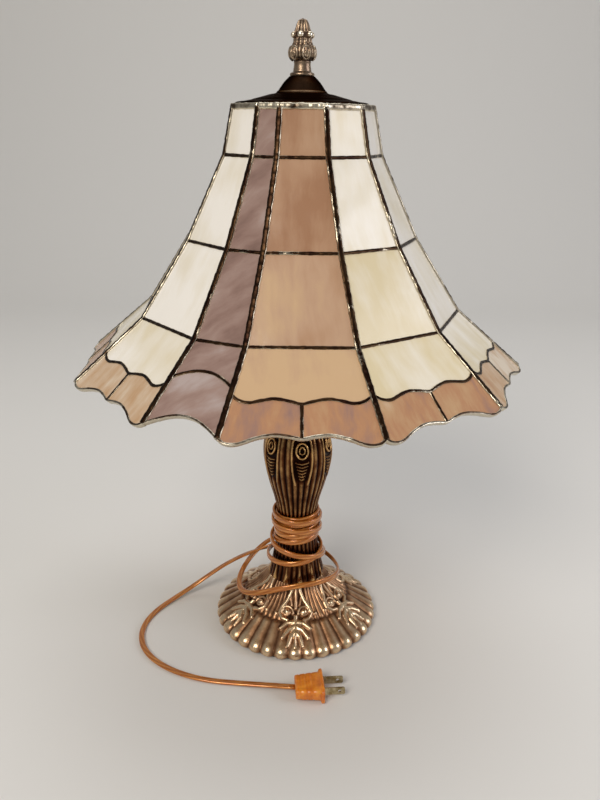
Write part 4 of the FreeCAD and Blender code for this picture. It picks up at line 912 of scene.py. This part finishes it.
# %% [markdown]
# ## The column and the vase
# Thirty reeds run up the stem. Between the foot and the neck that is all there is, under a collar of
# short leaves. On the vase they part round six medallions, each an arch over a scroll with a ribbed
# tail below it. The vase's ring where the two castings meet is left plain.

# %% Stem
REEDS = 30
COLUMN = [(25, 46), (21.8, 60.9), (18.8, 80.1), (17.5, 96.8), (17.2, 108)]
VASE = [(17.2, 108), (19.9, 122.5), (25.6, 142.8), (29.5, 166), (27.8, 180.8), (21.4, 194.9), (15, 203)]


def column_relief(turn, x, along, height):
    """Reeds all the way, and leaves 12 mm high round the bottom."""
    reeds = 1.1 * arches(turn, REEDS, 0.8)
    leaf = 1.7 * np.sqrt(np.clip(1 - (np.abs(np.sin(turn * 6)) * 1.25 + (height - 46) / 22) ** 2, 0, 1))
    plain = fade(height, 104, 107)
    return np.maximum(reeds, leaf * (height < 62)) * (1 - plain) + 0.6 * plain - 0.9


def vase_relief(turn, x, along, height):
    """Reeds, and in the middle of the sixth an arch, a scroll, a knob and a tail of short rungs."""
    inside = (1 - fade(x, 6.5, 8.5)) * fade(height, 146, 152)
    shapes = [
        1.6 * arches(turn, REEDS, 0.8) * (1 - inside) * fade(height, 108, 111),
        ridge(x, height, [(5.4, 146), (6.8, 152), (8.2, 160), (9.0, 170), (8.8, 179), (7.6, 186),
                          (4.6, 191), (0, 193)], 1.3, 2.0, 0.9),
        ridge(x, height, oval(178.5, 5.0, 6.5, -1.57, 1.57), 1.2, 2.2),
        ridge(x, height, [(0.6, 182), (2.4, 179.5), (1.9, 176.6), (0, 176)], 0.9, 2.2, 0.7),
        knob(x, height, (0, 196.5), 3.2, 2.2),
    ]
    for rung in range(6):
        low = 167 - 3.1 * rung
        shapes.append(ridge(x, height, [(0, low), (5.6 - 0.75 * rung, low + 1.2)], 1.0, 1.9, 0.6))
    return np.maximum.reduce(shapes) - 1.2


STEM_FIRST = math.radians(8)
turned_casting("reeded_column", "stem_column", COLUMN, 90, 420, column_relief, stem_plate, "base",
               "stem_bronze", wall=3.0, first=STEM_FIRST)
turned_casting("medallion_vase", "stem_vase", VASE, 150, 504, vase_relief, stem_plate, "base",
               "stem_bronze", wall=3.0, first=STEM_FIRST)

# %% [markdown]
# ## The cap and the finial
# The cap is spun from one disc, with a bead where the tool turned it up towards the finial. The
# finial is a small casting: a plain flange and neck, a bulb with six scrolled ovals, a collar of six
# knobs, and a ribbed bud at the top.

# %% Cap and finial
CAP = [(50, 448.9), (49.3, 449.5), (43.1, 450.5), (31.4, 453.3), (24, 455.3), (18.6, 456.6), (17.9, 457.5),
       (16.6, 459.4), (13.5, 463.6), (9.5, 467.6)]
FINIAL_HIGH, FINIAL_WIDE, FINIAL_LOW = 39.0, 10.2, 467.85
BUD = [(0.86, 0.0), (0.89, 0.02), (0.86, 0.05), (0.68, 0.075), (0.64, 0.12), (0.62, 0.24), (0.74, 0.27),
       (0.92, 0.33), (0.97, 0.4), (0.88, 0.49), (0.66, 0.58), (0.66, 0.64), (0.7, 0.7), (0.62, 0.745),
       (0.54, 0.79), (0.42, 0.88), (0.25, 0.955), (0.02, 0.999)]


def cap_relief(turn, x, along, height):
    """A raised bead round the foot of the neck and a shallow spun line halfway down the slope."""
    bead_high = 0.5 * np.exp(-((height - 457.0) / 0.6) ** 2)
    return bead_high - 0.2 * np.exp(-((height - 451.6) / 0.3) ** 2)


def finial_relief(turn, x, along, height):
    """Ovals and ribs on the bulb, knobs round the collar, ribs on the bud."""
    h = height - FINIAL_LOW
    from_knob = x.max(axis=1, keepdims=True) - x
    return np.maximum.reduce([
        0.8 * arches(turn, 24, 0.8) * fade(h, 9.6, 11) * (1 - fade(h, 20, 21.5)),
        0.9 * arches(turn, 12, 1.0) * fade(h, 20, 21.5) * (1 - fade(h, 24.5, 25.5)),
        0.9 * arches(turn, 12, 0.7) * fade(h, 28.5, 29.5) * (1 - fade(h, 36.5, 38.8)),
        ridge(x, h, oval(15.2, 3.0, 4.4), 0.8, 1.3),
        ridge(x, h, oval(14.4, 1.3, 1.7, count=20), 0.6, 1.2),
        knob(from_knob, h, (0, 27.2), 2.3, 2.4),
    ]) - 0.6 * fade(h, 9.3, 9.9)


turned_casting("spun_cap", "shade_cap", CAP, 70, 192, cap_relief, cap_plate, "shade", "cap_bronze",
               wall=1.0)
turned_casting("cast_finial", "finial", [(FINIAL_WIDE * r, FINIAL_LOW + FINIAL_HIGH * h) for r, h in BUD],
               190, 240, finial_relief, finial_plate, "finial", "finial_bronze", first=math.radians(18))

# %% [markdown]
# ## The plug
# The plug is moulded round the cord in one shot, with a grip that a thumb and finger can hold, a few
# shallow grooves across it, and a flange before the blades. Its section is a rounded rectangle: a
# point at the angle a stands at the 0.4th power of its cosine and sine times the half width and half
# thickness, and the stations along it give both.

# %% Plug
PLUG_AT = np.array([0.5, -111, 7])
PLUG_YAW = math.radians(5)
CORNER_POWER = 0.4
PLUG_STATIONS = [(0, 9.6, 4.0), (0.5, 10.4, 4.6), (3, 10.8, 4.9), (4, 10.6, 4.5), (5, 11.0, 5.0),
                 (8, 11.4, 5.1), (9, 11.2, 4.7), (10, 11.5, 5.2), (13, 11.9, 5.3), (14, 11.7, 4.9),
                 (15, 12.0, 5.4), (19.4, 12.5, 5.5), (20, 13.6, 6.0), (20.4, 14.6, 6.7), (21, 15, 7),
                 (22.6, 15, 7), (23, 14.6, 6.6)]
GRIP_SECTION = 48
stations = np.array(PLUG_STATIONS)
a = round_angles(GRIP_SECTION)
body = np.stack([stations[:, :1] + 0 * a, stations[:, 1:2] * signed_power(np.cos(a), CORNER_POWER),
                 stations[:, 2:] * signed_power(np.sin(a), CORNER_POWER)], axis=-1)
body = (body.reshape(-1, 3) @ np.array(Matrix.Rotation(-PLUG_YAW, 3, "Z")) + PLUG_AT) * MM
plug = piece("moulded_plug", body, [block[:, ::-1] for block in tube_faces(len(stations), GRIP_SECTION)],
             amber_plug, "base", ("plug_body",), "plug")

# %% [markdown]
# ## Everything else
# The parts inside the shade and under the foot keep their CAD shapes and only need their metal,
# fibre or felt. One function makes them all: two tones mixed by a noise as coarse as the material's
# own grain, the same noise for the roughness, and a small bump.

# %% Materials of the hidden parts


def finish_of(name, dark, light, metal, rough, grain_mm, bump_mm, nodes, **more):
    """A two-tone material whose grain and bump are given in millimetres, put on the CAD nodes."""
    material, tree, shader = begin(name)
    grain = noise(tree, add(tree, "TexCoord").outputs["Object"], grain_mm, 4.0)
    tones = add(tree, "ValToRGB", {"Fac": grain}, stops=[(0.35, dark), (0.65, light)])
    settle(tree, shader, Base_Color=tones, Metallic=metal, Normal=bumped(tree, grain, 0.5, bump_mm),
           Roughness=roughness(tree, grain, rough + 0.08, rough - 0.08), **more)
    for node in nodes:
        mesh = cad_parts[node].data
        mesh.materials.clear()
        mesh.materials.append(material)


# green wool felt, glued under the foot
finish_of("green_felt", "#22331F", "#3B5236", 0, 0.92, 0.6, 0.3, ["base_felt"])
# a rough grey iron casting, painted black long ago
finish_of("rough_cast_iron", "#1A1A1A", "#343230", 0.6, 0.62, 2.0, 0.4, ["base_weight"])
# zinc-plated steel, a little yellowed
finish_of("zinc_plated_steel", "#8F8B80", "#BDB9AC", 1, 0.34, 3.0, 0.03,
          ["bottom_nut", "bottom_washer", "saddle_nut", "lamp_pipe", "harp_saddle", "terminal_screws"])
# the harp's wire is brass-plated steel
finish_of("brassed_wire", "#8A6A38", "#B8934F", 1, 0.3, 4.0, 0.02, ["harp_wire"])
# spun and pressed brass with a film of tarnish
finish_of("tarnished_brass", "#8C6A36", "#BF9A58", 1, 0.32, 6.0, 0.02,
          ["check_ring", "harp_seat", "harp_sleeve_left", "harp_sleeve_right", "socket_cap", "socket_shell",
           "shade_ring", "screw_shell"])
# pressed paper fibre inside the socket
finish_of("fish_paper", "#8A7550", "#A8926A", 0, 0.8, 1.2, 0.05, ["socket_liner"])
# moulded phenolic: the socket's core and the key
finish_of("black_phenolic", "#0E0C0B", "#1E1A17", 0, 0.34, 2.0, 0.02, ["socket_core", "switch_key"])
# a moulded plastic bushing where the cord leaves the foot
finish_of("black_bushing", "#12100F", "#231F1C", 0, 0.45, 1.5, 0.02, ["cord_bushing"])
# pressed aluminium thread on the bulb
finish_of("bulb_aluminium", "#A9A9A6", "#CFCFCB", 1, 0.3, 3.0, 0.02, ["bulb_cap"])
# an envelope frosted white inside
finish_of("frosted_envelope", "#E4E2DC", "#F4F3EE", 0, 0.3, 8.0, 0.01, ["bulb_glass"],
          Subsurface_Weight=0.3, Subsurface_Scale=0.01, IOR=1.5)
# pressed brass blades with most of the nickel worn away
finish_of("worn_nickel_brass", "#8E7B52", "#C9BC9A", 1, 0.26, 4.0, 0.02, ["plug_blades"])
